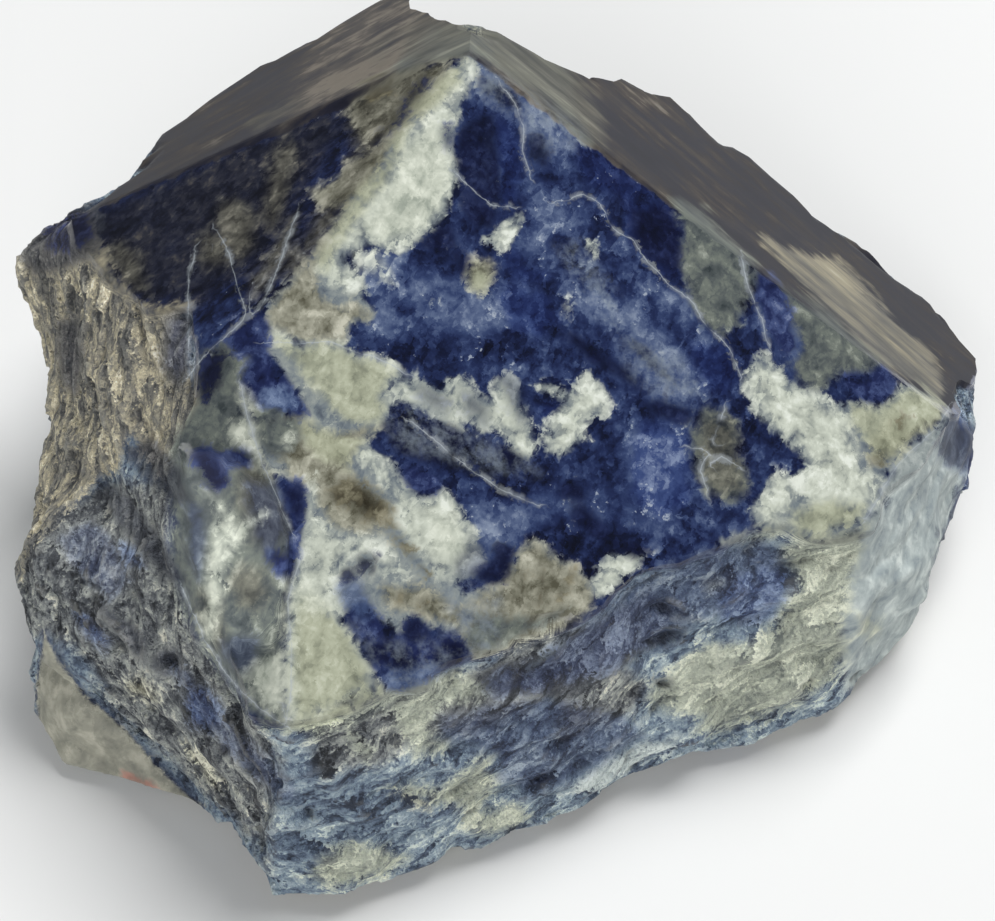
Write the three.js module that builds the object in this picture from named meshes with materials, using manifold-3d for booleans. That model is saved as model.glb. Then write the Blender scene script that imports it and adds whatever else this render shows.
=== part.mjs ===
// Rough sodalite: a broken lump whose crown is ground and polished into flat faces that meet at a low
// peak, while its sides and underside are left as they broke. It rests on a small flat spot.
//
// Millimetres, +Z up. The origin is on the surface that the lump rests on, under its middle. -Y is the
// front, where the broad polished face slopes down to the highest stretch of broken wall.
import * as THREE from "three";
import { ImprovedNoise } from "three/addons/math/ImprovedNoise.js";
import { mergeVertices } from "three/addons/utils/BufferGeometryUtils.js";
import Module from "manifold-3d";

// ---- Driving dimensions ----

// The broken lump before grinding, as ribs that run up its side. Each point is [x, y, z]: the foot of the
// side, four points up the side, and one above the ground crown. The ribs go round anticlockwise, seen
// from above.
const RIBS = [
  // front wall, from the sharp front left corner to the blunt edge at the right
  [[-27, -43.5, 3], [-27, -43.5, 9], [-26, -41.5, 17], [-24.7, -39, 25], [-23.2, -37.7, 32], [-22, -36, 42]],
  [[-14.5, -42, 3], [-15, -41, 10], [-15.5, -39.5, 17], [-15, -37, 25], [-15, -34.5, 32], [-14.5, -32, 42]],
  [[-5.5, -37, 3], [-5, -36.5, 9], [-5, -35.5, 16], [-5.5, -33, 24], [-5.5, -30.3, 32], [-5, -28, 42]],
  [[6.5, -32.8, 3], [7, -32.3, 9], [7, -31, 16], [7, -28, 24], [6.5, -24, 32], [6, -21, 42]],
  [[19, -24.5, 3], [20, -24.5, 8], [19.5, -23, 15], [18, -19.5, 25], [16.5, -16.4, 33.5], [16, -13, 42]],
  [[31, -20.5, 3], [32, -20.5, 8], [31, -19, 15], [30.5, -15.5, 23], [30, -12, 32.5], [27, -8, 43]],
  [[42, -15.5, 3], [43, -15.5, 9], [43.5, -14.5, 16], [44, -12, 23], [44.3, -7.5, 30.5], [39, -4, 42]],
  // right wall
  [[51.5, -5.5, 4], [52.5, -5.5, 10], [52, -4.5, 17], [51.5, -2, 24], [50, 0.8, 31.2], [45, 4, 42]],
  [[54.5, 3.5, 6], [56, 5, 11], [55.5, 5, 17], [55, 5, 24], [53, 5, 32], [48, 7, 43]],
  [[57.5, 12.5, 7], [61, 17, 12], [60.5, 15, 18], [58.5, 12, 24], [56.5, 11, 32.5], [51, 13, 43]],
  [[58, 21, 5], [60, 22, 11], [59, 22.5, 17], [58.5, 21, 21], [58.5, 20, 25], [53, 21, 38]],
  [[58, 30, 4], [61, 31, 9], [62, 32, 13], [62.3, 33, 16], [61.5, 32, 20], [54, 30, 34]],
  // back wall, with the gully between its two polished lobes
  [[53, 41, 4], [57, 42, 8], [58, 42, 11], [57.5, 42, 13], [56.5, 42, 16], [48, 36, 30]],
  [[46, 46, 4], [50, 48, 9], [50.5, 48, 13], [50, 47.5, 17], [48, 46, 21], [41, 40, 34]],
  [[37, 50, 4], [41, 51, 10], [42.5, 51, 16], [42.5, 49, 21], [41.5, 47, 25.5], [34, 40, 38]],
  [[28, 56, 4], [32, 58, 11], [34, 58, 18], [33.5, 55, 25], [32, 52.7, 31], [25, 44, 44]],
  [[19, 61, 4], [22, 63, 12], [24, 63, 21], [24, 61, 29], [23, 58.5, 35.5], [18, 50, 48]],
  [[9, 60, 4], [12, 61, 13], [14, 58, 25], [14, 54, 36], [13.5, 49, 47.5], [11, 42, 58]],
  [[1, 59, 4], [3, 59, 15], [5, 56, 30], [6.5, 51, 42], [8, 44, 54], [6, 40, 62]],
  [[-6, 61, 4], [-6, 62, 15], [-5, 60, 30], [-5, 55, 43], [-6, 45, 58], [-6, 40, 66]],
  [[-11, 63, 4], [-11, 66, 16], [-10.5, 65, 32], [-11, 60, 46], [-11, 56, 54], [-10, 48, 64]],
  [[-17, 64, 4], [-17, 69, 16], [-15.5, 71, 30], [-14, 69.5, 40], [-13.4, 68, 46], [-12, 62, 56]],
  [[-25, 60, 4], [-27, 64, 16], [-27, 64, 27], [-26.5, 63, 36], [-26, 62, 42], [-21, 54, 57]],
  [[-35, 52, 4], [-38, 56, 15], [-39, 56, 26], [-38.5, 55, 35], [-37.5, 53.5, 40.5], [-31, 47, 55]],
  [[-42, 45, 4], [-45, 48.5, 15], [-45.5, 49, 25], [-45, 48.5, 34], [-43, 47, 41], [-36, 40, 53]],
  // left wall, with a nub that stands out at the back and a hollow under the crown further forward
  [[-47, 37, 4], [-50, 39, 14], [-51, 39, 25], [-49.5, 37.5, 34], [-46.5, 36.5, 41.5], [-40, 32, 54]],
  [[-49, 31, 4], [-53, 33, 14], [-56, 33.5, 25], [-57, 33.5, 34], [-53.5, 31.5, 41], [-45, 28, 51]],
  [[-50, 26, 4], [-54, 27, 14], [-56.8, 27, 25], [-59, 29, 35], [-56.3, 28, 41.5], [-46, 25, 52]],
  [[-51, 18, 4], [-55, 19, 13], [-56.5, 19, 22], [-55.8, 20, 30], [-52, 20, 39], [-45, 18.5, 53]],
  [[-52, 11, 4], [-55.5, 11.5, 13], [-56.5, 12, 21], [-54.5, 12, 29], [-50, 12, 39], [-42, 11.5, 54]],
  [[-53, 6, 4], [-55.7, 6, 13], [-56.7, 6, 21], [-54, 5, 28], [-48, 6, 37], [-39.5, 7.5, 53]],
  [[-53.5, 1, 4], [-55.8, 0, 13], [-57.8, -1, 21], [-53.5, 0, 27], [-46, 2, 35.5], [-35, 5, 54.5]],
  [[-54, -4, 4], [-56.3, -5, 13], [-58.6, -7, 20], [-55, -6, 25], [-46, -2.5, 31], [-34.5, -3.5, 53.5]],
  // lower left wall, which overhangs its smooth foot in a lip
  [[-57.5, -16, 3.5], [-55.5, -13, 12], [-58, -12, 18], [-53, -12, 24], [-42, -10.5, 32], [-35.5, -10, 48]],
  [[-53.5, -24, 2], [-50.5, -18, 12], [-54, -17, 15], [-49, -17, 22], [-39, -18, 31.5], [-34.5, -19, 42]],
  [[-45.5, -26, 2], [-43.5, -23, 8], [-47, -21.5, 11], [-43, -22, 19], [-36, -25, 29], [-31.5, -26.5, 38]],
  [[-37.5, -29, 2], [-36, -28, 4.5], [-38, -28, 6.5], [-36, -29, 15], [-31, -31.5, 26], [-28.5, -31.5, 37]],
  [[-31.5, -33.5, 3], [-31.5, -34, 6], [-32, -34.5, 10], [-31, -35.5, 17], [-28, -36, 27], [-26, -35.5, 37]],
];
const AXIS = [-2, 12]; // the middle of the lump, seen from above
const UNDERSIDE = [
  // rings under the lump: how far in from the feet of the ribs towards the middle, and how high
  { inset: 0.7, z: -0.8 },
  { inset: 0.3, z: 2 },
];
const NADIR = -1.2; // how deep the lump reaches before it is cut off level, which leaves its resting spot
const SUMMIT = 95; // how high it reaches before its crown is ground off

// The polished flats. The azimuth is the way a flat faces in plan, from +X towards +Y; the tilt is how
// far it leans from level; reach is its distance from the origin along its own normal.
const FLATS = {
  front: { azimuth: -64, tilt: 35.5, reach: 40.1 },
  frontRight: { azimuth: -41.5, tilt: 33.4, reach: 46.4 },
  right: { azimuth: 27.2, tilt: 43.8, reach: 58.7 },
  capRight: { azimuth: 28.4, tilt: 42, reach: 59.8 },
  capLeft: { azimuth: 132.9, tilt: 31.7, reach: 72.5 },
  backLeft: { azimuth: 137.3, tilt: 37.4, reach: 70.6 },
  left: { azimuth: -178.3, tilt: 26.5, reach: 63.7 },
  frontLeft: { azimuth: -120.5, tilt: 39.4, reach: 53.3 },
};
const ARRISES = [
  ["front", "frontRight"],
  ["frontRight", "right"],
  ["front", "left"],
  ["front", "frontLeft"],
  ["left", "frontLeft"],
  ["left", "backLeft"],
];
const ARRIS_WIDTH = 0.5; // each edge between two flats is eased by a narrow bevel

// Shell-shaped chips that were struck off after grinding, as the spheres that they follow.
const CHIPS = [{ centre: [-45.2, -42.6, 70.3], radius: 41 }];
const CHIP_ROUGHNESS = 0.35; // how rough a chip is beside the broken surface

// The broken surface. Its relief is drawn out level, along the bedding of the stone: how far apart its
// swellings are along the bedding and across it, how high they are, and how sharply they meet.
const GRAIN = { along: 3.2, across: 2.2 }; // the size of the facets that it is made of
const RELIEF = [
  { along: 21, across: 12, height: 1, creased: 0.2 },
  { along: 14, across: 6, height: 1, creased: 0.9 },
  { along: 5, across: 3.4, height: 0.4, creased: 0.5 },
];
const SCATTER = 0.8; // how far its facets' corners stray sideways
const DIP = [0, 0.5]; // how far the bedding climbs per millimetre along X and along Y

// ---- Broken surface ----

const noise = new ImprovedNoise();
const SEED = [31.7, 12.9, 57.3]; // moves the noise away from its lattice at the origin
const noiseAt = (x, y, z) => noise.noise(x + SEED[0], y + SEED[1], z + SEED[2]);

// Height of one layer of relief at a point, from -1 to 1. A creased layer has sharp-bottomed valleys.
function layer(point, { along, across, creased }, shift) {
  const bed = point.z - DIP[0] * point.x - DIP[1] * point.y;
  const value = noiseAt(point.x / along + shift, point.y / along, bed / across - shift);
  const ridged = 2 * Math.min(1, 2.2 * Math.abs(value)) - 1;
  return THREE.MathUtils.lerp(1.6 * value, ridged, creased);
}

// Moves a point of the surface by the relief there, and sideways at random.
function roughened(point, outward, roughness) {
  const height = RELIEF.reduce((sum, r, i) => sum + r.height * layer(point, r, 9 * i), 0);
  const scatter = [0, 40, 80].map(
    (shift) => SCATTER * noiseAt(point.x + shift, point.y, point.z),
  );
  return point
    .clone()
    .addScaledVector(outward, height * roughness)
    .add(new THREE.Vector3(...scatter).multiplyScalar(roughness));
}

// The underside, which the lump was knocked against, is smoother than the side.
const sideRoughness = ({ z }) => THREE.MathUtils.lerp(0.35, 1, THREE.MathUtils.smoothstep(z, 1, 6));

// The points of a net whose knots are rows of points that match each other. Stretches between knots are
// divided alike in every row, so that what runs along the rows stays in line.
function divided(rows, grain, closed) {
  const count = rows[0].length;
  const steps = Array.from({ length: closed ? count : count - 1 }, (_, i) => {
    const lengths = rows.map((row) => row[i].distanceTo(row[(i + 1) % count]));
    const mean = lengths.reduce((a, b) => a + b, 0) / lengths.length;
    return Math.max(1, Math.round(mean / grain));
  });
  return rows.map((row) => {
    const points = steps.flatMap((n, i) =>
      Array.from({ length: n }, (_, k) => row[i].clone().lerp(row[(i + 1) % count], k / n)),
    );
    return closed ? points : [...points, row[count - 1]];
  });
}

const transposed = (rows) => rows[0].map((_, i) => rows.map((row) => row[i]));

// Which way a point of the net faces, from its neighbours.
function outwardAt(net, column, row) {
  const next = net[(column + 1) % net.length][row];
  const last = net[(column + net.length - 1) % net.length][row];
  const above = net[column][Math.min(row + 1, net[column].length - 1)];
  const below = net[column][Math.max(row - 1, 0)];
  return next.clone().sub(last).cross(above.clone().sub(below)).normalize();
}

// The lump as one closed surface: a net of facets over the ribs, closed by a fan above and below.
function lumpGeometry() {
  const middle = new THREE.Vector3(...AXIS, 0);
  const ribs = RIBS.map((rib) => {
    const side = rib.map((p) => new THREE.Vector3(...p));
    const under = UNDERSIDE.map(({ inset, z }) => side[0].clone().lerp(middle, inset).setZ(z));
    return [...under, ...side];
  });
  const levels = transposed(divided(ribs, GRAIN.across, false));
  const smooth = transposed(divided(levels, GRAIN.along, true));
  const net = smooth.map((column, i) =>
    column.map((p, row) => roughened(p, outwardAt(smooth, i, row), sideRoughness(p))),
  );
  const top = net[0].length - 1;
  const summit = middle.clone().setZ(SUMMIT);
  const nadir = middle.clone().setZ(NADIR);
  const triangles = net.flatMap((here, i) => {
    const next = net[(i + 1) % net.length];
    const sides = here.slice(0, top).flatMap((a, row) => {
      const [b, c, d] = [next[row], next[row + 1], here[row + 1]];
      // A four-sided facet is folded along its shorter diagonal.
      return a.distanceTo(c) < b.distanceTo(d) ? [a, b, c, a, c, d] : [a, b, d, b, c, d];
    });
    return [nadir, next[0], here[0], summit, here[top], next[top], ...sides];
  });
  return new THREE.BufferGeometry().setFromPoints(triangles);
}

// ---- Solids ----

const wasm = await Module();
wasm.setup();

// A closed geometry as a manifold-3d solid.
function solid(geometry) {
  const bare = geometry.index ? geometry.toNonIndexed() : geometry.clone();
  bare.deleteAttribute("normal");
  bare.deleteAttribute("uv");
  const merged = mergeVertices(bare, 1e-3);
  return new wasm.Manifold(
    new wasm.Mesh({
      numProp: 3,
      vertProperties: merged.attributes.position.array,
      triVerts: new Uint32Array(merged.index.array),
    }),
  );
}

// A manifold-3d solid as a flat-shaded geometry.
function geometryOf(shape) {
  const mesh = shape.getMesh();
  const geometry = new THREE.BufferGeometry()
    .setAttribute("position", new THREE.BufferAttribute(mesh.vertProperties, 3))
    .setIndex(new THREE.BufferAttribute(mesh.triVerts, 1))
    .toNonIndexed();
  geometry.computeVertexNormals();
  return geometry;
}

// The outward normal of a flat.
function normalOf({ azimuth, tilt }) {
  const [around, down] = [azimuth, tilt].map(THREE.MathUtils.degToRad);
  const level = Math.sin(down);
  return new THREE.Vector3(level * Math.cos(around), level * Math.sin(around), Math.cos(down));
}

// Takes off what lies beyond a plane at a distance from the origin along its normal.
const ground = (shape, normal, reach) =>
  shape.trimByPlane(normal.clone().negate().toArray(), -reach);

// Eases the edge between two flats by a plane that faces midway between them.
function eased(shape, [one, other]) {
  const [a, b] = [normalOf(FLATS[one]), normalOf(FLATS[other])];
  const middle = a.clone().add(b);
  const edge = (FLATS[one].reach + FLATS[other].reach) / middle.length();
  const depth = (ARRIS_WIDTH / 2) * Math.tan(a.angleTo(b) / 2);
  return ground(shape, middle.normalize(), edge - depth);
}

// Strikes off what lies within a sphere, whose surface is a little rough.
function struck(shape, { centre, radius }) {
  const ball = new THREE.IcosahedronGeometry(radius, Math.round(radius));
  const at = ball.attributes.position;
  for (let i = 0; i < at.count; i += 1) {
    const outward = new THREE.Vector3().fromBufferAttribute(at, i).normalize();
    const point = outward.clone().multiplyScalar(radius).add(new THREE.Vector3(...centre));
    at.setXYZ(i, ...roughened(point, outward, CHIP_ROUGHNESS).toArray());
  }
  return shape.subtract(solid(ball));
}

function stoneGeometry() {
  const lump = solid(lumpGeometry());
  const crowned = Object.values(FLATS).reduce(
    (shape, flat) => ground(shape, normalOf(flat), flat.reach),
    lump,
  );
  const edged = ARRISES.reduce(eased, crowned);
  const chipped = CHIPS.reduce(struck, edged);
  return geometryOf(ground(chipped, new THREE.Vector3(0, 0, -1), 0));
}

const sodalite = new THREE.Mesh(
  stoneGeometry(),
  new THREE.MeshStandardMaterial({ color: 0x3a4a78, roughness: 0.55, metalness: 0 }),
);
sodalite.name = "sodalite";

export default new THREE.Group().add(sodalite);
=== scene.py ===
"""The looks of a rough sodalite whose crown is ground and polished: one stone, on a pale floor.

Lengths are in metres in Blender and in millimetres in the arrays that the surface is worked out in.
"""

import math

import bpy
import numpy as np
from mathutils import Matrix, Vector, bvhtree, geometry, noise


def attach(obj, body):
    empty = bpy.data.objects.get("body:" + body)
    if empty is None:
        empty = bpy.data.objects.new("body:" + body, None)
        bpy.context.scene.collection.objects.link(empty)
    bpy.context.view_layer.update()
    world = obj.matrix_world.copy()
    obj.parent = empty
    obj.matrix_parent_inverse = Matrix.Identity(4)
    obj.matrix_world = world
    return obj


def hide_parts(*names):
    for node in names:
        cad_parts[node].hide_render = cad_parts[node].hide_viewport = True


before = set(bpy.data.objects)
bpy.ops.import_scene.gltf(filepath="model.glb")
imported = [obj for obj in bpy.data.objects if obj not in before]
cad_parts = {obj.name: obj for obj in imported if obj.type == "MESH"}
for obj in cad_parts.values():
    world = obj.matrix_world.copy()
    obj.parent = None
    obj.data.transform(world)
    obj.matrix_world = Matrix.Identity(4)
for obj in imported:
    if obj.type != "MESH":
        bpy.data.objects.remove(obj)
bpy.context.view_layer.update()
MM = 0.001

# ---- The camera, fitted to the photograph ----

IMAGE = (995, 921)
ELEVATION = math.radians(50)
LENS, SENSOR = 120, 36
TARGET = np.array([0, 0, 32.0])
DISTANCE = 398.0
BACK = np.array([0, -math.cos(ELEVATION), math.sin(ELEVATION)])
RIGHT = np.array([1.0, 0, 0])
UP = np.cross(BACK, RIGHT)
EYE = TARGET + DISTANCE * BACK
PIXEL = DISTANCE * SENSOR / LENS / IMAGE[0]  # millimetres that a pixel spans at the target


def pixels(points):
    """Where points fall in the photograph."""
    seen = points - EYE
    focal = IMAGE[0] * LENS / SENSOR
    depth = -seen @ BACK
    x = IMAGE[0] / 2 + focal * (seen @ RIGHT) / depth
    y = IMAGE[1] / 2 - focal * (seen @ UP) / depth
    return np.column_stack([x, y])


# ---- The surface, worked out from the CAD stone ----

FLAT_AREA = 50.0  # mm2: a plane with more of the surface than this is a ground flat or the resting spot
FLAT_TRIES = 600  # how many of the largest triangles are tried for such a plane
SAME_WAY = 0.9998  # the cosine between the normals of triangles in one plane
SAME_PLANE = 0.01  # how far a plane's triangles may be off it
LONGEST_SEEN = 0.8  # the longest edge of the fine mesh where the photograph looks, and elsewhere
LONGEST_HIDDEN = 1.5
NEAR_FLOOR = 1.5  # below this height the mesh may be as coarse as where it is hidden
FAR_BEHIND = -28  # and so it may where its distance from the target towards the camera is less than this
FLAT_GRID = 0.9  # spacing of the points inside a flat
EDGE_ROOM = 0.45  # how far they keep from the flat's edge, in spacings
SAME_POINT = 1e-5  # points of a flat that are closer than this are one
LEVEL = 0.99  # a plane is level when its normal's height is more than this
SHARP = math.radians(35)  # faces that meet at more than this show a sharp edge
TINY = 1e-12  # keeps a division from failing
BEDDING = np.array([0.05, -0.86, 1.0]) / math.hypot(0.05, 0.86, 1.0)  # across the layers of the stone


def stone_triangles(node):
    """The CAD stone's points and triangles, with doubled points merged."""
    mesh = node.data
    co = np.zeros(len(mesh.vertices) * 3, np.float32)
    mesh.vertices.foreach_get("co", co)
    mesh.calc_loop_triangles()
    corners = np.zeros(len(mesh.loop_triangles) * 3, np.int32)
    mesh.loop_triangles.foreach_get("vertices", corners)
    rounded = np.round(co.reshape(-1, 3) / MM, 4).astype(float)
    points, index = np.unique(rounded, axis=0, return_inverse=True)
    return points, index.ravel()[corners].reshape(-1, 3)


def triangle_normals(points, triangles):
    """Each triangle's normal and its area."""
    a, b, c = (points[triangles[:, i]] for i in range(3))
    crossed = np.cross(b - a, c - a)
    length = np.linalg.norm(crossed, axis=1)
    return crossed / np.maximum(length, TINY)[:, None], length / 2


def find_flats(points, triangles):
    """The planes that hold much of the surface, and each triangle's plane, or -1."""
    normals, areas = triangle_normals(points, triangles)
    label = np.full(len(triangles), -1)
    tried = np.zeros(len(triangles), bool)
    planes = []
    for first in np.argsort(-areas)[:FLAT_TRIES]:
        if tried[first]:
            continue
        normal = normals[first]
        reach = points[triangles[first, 0]] @ normal
        off = np.abs(points[triangles] @ normal - reach).max(1)
        members = (normals @ normal > SAME_WAY) & (off < SAME_PLANE)
        tried |= members
        if areas[members].sum() > FLAT_AREA:
            label[members & (label < 0)] = len(planes)
            planes.append((normal, reach))
    return planes, label


def edges_of(triangles):
    """Each triangle's edges, as places in a list of the mesh's own edges."""
    pairs = np.sort(triangles[:, [0, 1, 1, 2, 2, 0]].reshape(-1, 2), axis=1)
    edges, index = np.unique(pairs, axis=0, return_inverse=True)
    return edges, index.reshape(-1, 3)


def refined(points, triangles, label):
    """Halves edges until none is longer than it may be. An edge inside a flat is left as it is."""
    while True:
        edges, of_triangle = edges_of(triangles)
        lowest = np.full(len(edges), label.max())
        highest = np.full(len(edges), label.min())
        for corner in range(3):
            np.minimum.at(lowest, of_triangle[:, corner], label)
            np.maximum.at(highest, of_triangle[:, corner], label)
        ends = points[edges]
        middle = ends.mean(1)
        length = np.linalg.norm(ends[:, 0] - ends[:, 1], axis=1)
        split = (length > longest_at(middle)) & ~((lowest == highest) & (lowest >= 0))
        if not split.any():
            return points, triangles, label
        new = np.full(len(edges), -1)
        new[split] = len(points) + np.arange(split.sum())
        points = np.vstack([points, middle[split]])
        triangles, label = divided(points, triangles, label, new[of_triangle])


def longest_at(middle):
    """How long an edge with this middle may be."""
    hidden = (middle[:, 2] < NEAR_FLOOR) | ((middle - TARGET) @ BACK < FAR_BEHIND)
    return np.where(hidden, LONGEST_HIDDEN, LONGEST_SEEN)


def divided(points, triangles, label, middles):
    """Cuts each triangle at the new middles of its edges."""
    count = (middles >= 0).sum(1)
    made, marks = [triangles[count == 0]], [label[count == 0]]
    # Turn each triangle so that a lone middle is on its first edge, and a lone whole edge is its last.
    for turn in range(3):
        t = np.roll(triangles, -turn, axis=1)
        m = np.roll(middles, -turn, axis=1)
        one = (count == 1) & (m[:, 0] >= 0)
        two = (count == 2) & (m[:, 2] < 0)
        (a, b, c), ab = t[one].T, m[one, 0]
        made += [np.column_stack([a, ab, c]), np.column_stack([ab, b, c])]
        marks += [label[one]] * 2
        (a, b, c), (ab, bc, _) = t[two].T, m[two].T
        from_ab = np.linalg.norm(points[ab] - points[c], axis=1)
        from_a = np.linalg.norm(points[a] - points[bc], axis=1)
        short = from_ab < from_a
        made += [
            np.column_stack([ab, b, bc]),
            np.column_stack([a, ab, np.where(short, c, bc)]),
            np.column_stack([np.where(short, ab, a), bc, c]),
        ]
        marks += [label[two]] * 3
    three = count == 3
    (a, b, c), (ab, bc, ca) = triangles[three].T, middles[three].T
    made += [np.column_stack(t) for t in ((a, ab, ca), (ab, b, bc), (ca, bc, c), (ab, bc, ca))]
    marks += [label[three]] * 4
    return np.vstack(made), np.concatenate(marks)


def neighbour_mean(values, edges, count):
    """The mean of each point's neighbours' values."""
    total = np.zeros((count,) + values.shape[1:])
    np.add.at(total, edges[:, 0], values[edges[:, 1]])
    np.add.at(total, edges[:, 1], values[edges[:, 0]])
    degree = np.bincount(edges.ravel(), minlength=count)
    return total / np.maximum(degree, 1).reshape((-1,) + (1,) * (values.ndim - 1))


def point_normals(points, triangles):
    """Each point's normal, from the triangles around it."""
    normals, areas = triangle_normals(points, triangles)
    total = np.zeros_like(points)
    for corner in range(3):
        np.add.at(total, triangles[:, corner], normals * areas[:, None])
    return total / np.maximum(np.linalg.norm(total, axis=1), TINY)[:, None]


def smoothstep(low, high, value):
    """0 up to low, 1 from high, and smooth between them."""
    t = np.clip((value - low) / (high - low), 0, 1)
    return t * t * (3 - 2 * t)


def bedded(points, along, across):
    """Places in the noise, drawn out along the bedding."""
    depth = points @ BEDDING
    return points / along + BEDDING * (depth * (1 / across - 1 / along))[:, None]


def noise_at(places, shift=0.0):
    """Smooth noise, about -1 to 1, at each place."""
    return np.array([noise.noise(Vector(p)) for p in places + shift])


SLANT = 1.6  # how steeply a splinter slants
MIX_X, MIX_Y, MIX_Z = 12.9898, 78.233, 37.719  # these scramble a cell's place
MIX_STEP, MIX_SPREAD = 4.7, 43758.5453


def splinters(places, seed):
    """Heights, -1 to 1, of slanting chips: each place takes the plane of its nearest random cell."""
    cell = np.floor(places).astype(int)
    nearest = np.full(len(places), np.inf)
    height = np.zeros(len(places))
    for step in np.ndindex(3, 3, 3):
        corner = cell + np.array(step) - 1
        a, b, c, tilt_x, tilt_y, tilt_z, level = hashed(corner, seed)
        away = places - corner - np.column_stack([a, b, c])
        distance = (away ** 2).sum(1)
        closer = distance < nearest
        nearest = np.where(closer, distance, nearest)
        slant = away * (np.column_stack([tilt_x, tilt_y, tilt_z]) - 0.5)
        height = np.where(closer, SLANT * slant.sum(1) + level - 0.5, height)
    return height


def hashed(corner, seed):
    """Seven repeatable random numbers, 0 to 1, for each cell."""
    x, y, z = corner.T.astype(float)
    start = x * MIX_X + y * MIX_Y + z * MIX_Z + seed
    return [(np.sin(start + MIX_STEP * k) * MIX_SPREAD) % 1 for k in range(7)]


LEDGE_HEIGHT = 0.5
LEDGE_THICKNESS = 2.6
LEDGE_FACE = 0.15  # the share of a ledge's thickness that its steep face takes
LEDGE_WAVER = 1.4  # how far a ledge wavers, in thicknesses, and the size of the wavers along and across
WAVER_SIZE = (13, 7)
LEDGE_PATCH = 9  # the size of the areas where ledges stand out
PATCH_CONTRAST = 0.9
FORMS = [
    # A form's noise, how far it stands out, its size along and across the bedding, and its seed.
    (noise_at, 0.22, 9, 3.5, 5.3),
    (splinters, 0.46, 6.5, 2.2, 1.0),
    (splinters, 0.3, 2.8, 0.95, 2.0),
    (noise_at, 0.08, 2.4, 0.6, 9.1),
]


def relief_at(points):
    """How far the broken surface stands out: ledges, waves, splinters, then fibres."""
    ledge = points @ BEDDING / LEDGE_THICKNESS + LEDGE_WAVER * noise_at(bedded(points, *WAVER_SIZE))
    ledge -= np.floor(ledge)
    step = np.minimum(ledge / (1 - LEDGE_FACE), (1 - ledge) / LEDGE_FACE) - 0.5
    patchy = np.clip(0.5 + PATCH_CONTRAST * noise_at(points / LEDGE_PATCH), 0, 1)
    height = LEDGE_HEIGHT * step * patchy
    for form, depth, along, across, seed in FORMS:
        height += depth * form(bedded(points, along, across), seed)
    return height


def flat_faces(points, triangles, normal):
    """Fills the outline of a flat's triangles with even ones. Gives new points and all its triangles."""
    edges, of_triangle = edges_of(triangles)
    rim = edges[np.bincount(of_triangle.ravel(), minlength=len(edges)) == 1]
    used, local = np.unique(rim, return_inverse=True)
    local = local.reshape(-1, 2)
    level = abs(normal[2]) > LEVEL
    u = np.array([1.0, 0, 0]) if level else np.cross(normal, [0, 0, 1.0])
    u /= np.linalg.norm(u)
    v = np.cross(normal, u)
    reach = points[used].mean(0) @ normal
    outline = np.column_stack([points[used] @ u, points[used] @ v])
    inner = grid_inside(outline, local)
    every = np.vstack([outline, inner])
    inside_only = 1
    made = geometry.delaunay_2d_cdt([Vector(p) for p in every], local.tolist(), [], inside_only, SAME_POINT)
    placed = np.array([tuple(p) for p in made[0]])
    known = np.array([min(o) if o else -1 for o in made[3]])
    at_rim = (known >= 0) & (known < len(used))
    fresh = placed[:, :1] * u + placed[:, 1:] * v + reach * normal
    index = np.zeros(len(placed), int)
    index[at_rim] = used[known[at_rim]]
    index[~at_rim] = len(points) + np.arange((~at_rim).sum())
    faces = np.array(made[2])
    a, b, c = (placed[faces[:, i]] for i in range(3))
    turned = (b - a)[:, 0] * (c - a)[:, 1] - (b - a)[:, 1] * (c - a)[:, 0] < 0
    faces[turned] = faces[turned][:, ::-1]
    return fresh[~at_rim], index[faces]


def grid_inside(outline, rim):
    """Points of a triangular grid inside an outline, away from its edge."""
    low, high = outline.min(0), outline.max(0)
    rows = np.arange(low[1], high[1], FLAT_GRID * math.sqrt(0.75))
    columns = np.arange(low[0], high[0], FLAT_GRID)
    x, y = np.meshgrid(columns, rows)
    x = x + (np.arange(len(rows)) % 2)[:, None] * FLAT_GRID / 2
    grid = np.column_stack([x.ravel(), y.ravel()])
    depth = signed_distance(grid, outline[rim[:, 0]], outline[rim[:, 1]])
    return grid[depth > EDGE_ROOM * FLAT_GRID]


def signed_distance(places, start, end):
    """Distance from places to an outline's edges, positive inside."""
    nearest = np.full(len(places), np.inf)
    inside = np.zeros(len(places), bool)
    x, y = places.T
    for (x0, y0), (x1, y1) in zip(start, end):
        dx, dy = x1 - x0, y1 - y0
        t = np.clip(((x - x0) * dx + (y - y0) * dy) / max(dx * dx + dy * dy, TINY), 0, 1)
        nearest = np.minimum(nearest, (x - x0 - t * dx) ** 2 + (y - y0 - t * dy) ** 2)
        if y0 != y1:
            inside ^= ((y0 > y) != (y1 > y)) & (x < x0 + (y - y0) * dx / dy)
    return np.sqrt(nearest) * np.where(inside, 1, -1)


FACING = 0.02  # a point can be seen when its normal's cosine with the way to the camera is above this
RAY_START = 0.25  # how far off the surface a ray to the camera starts
SEEN_PASSES = 6  # how often what is seen is blended with its neighbours
SEEN_LEVEL = (0.02, 0.3)  # the seen share around a point at which it starts to count, and counts in full
RELIEF_DEPTH = (0.12, 1.4)  # the relief grows to its full height over these depths under the crown's flats
RELIEF_HEIGHT = (0.02, 0.8)  # and over these heights above the floor
EVENING_PASSES = 4  # how often the CAD facets of the broken sides are evened out
SMOOTH_LOSS = 0.8  # the share of the relief that smooth and calm parts lose
CALM_LOSS = 0.4
PIT_DEPTH = 1.3
SMOOTH_EDGE = (-0.8, 1.2)  # how far inside their outlines these start and are full
PIT_EDGE = (-0.3, 1.1)
CALM_EDGE = (-2, 2)
UNDER_FLATS = 0.02  # how far the relief stays below the crown's flats
HOLLOW_PASSES = 2  # how often the hollows are blended with their neighbours
DEEP_HOLLOW = 0.09  # a point this far below its neighbours lies in a crevice
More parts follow.
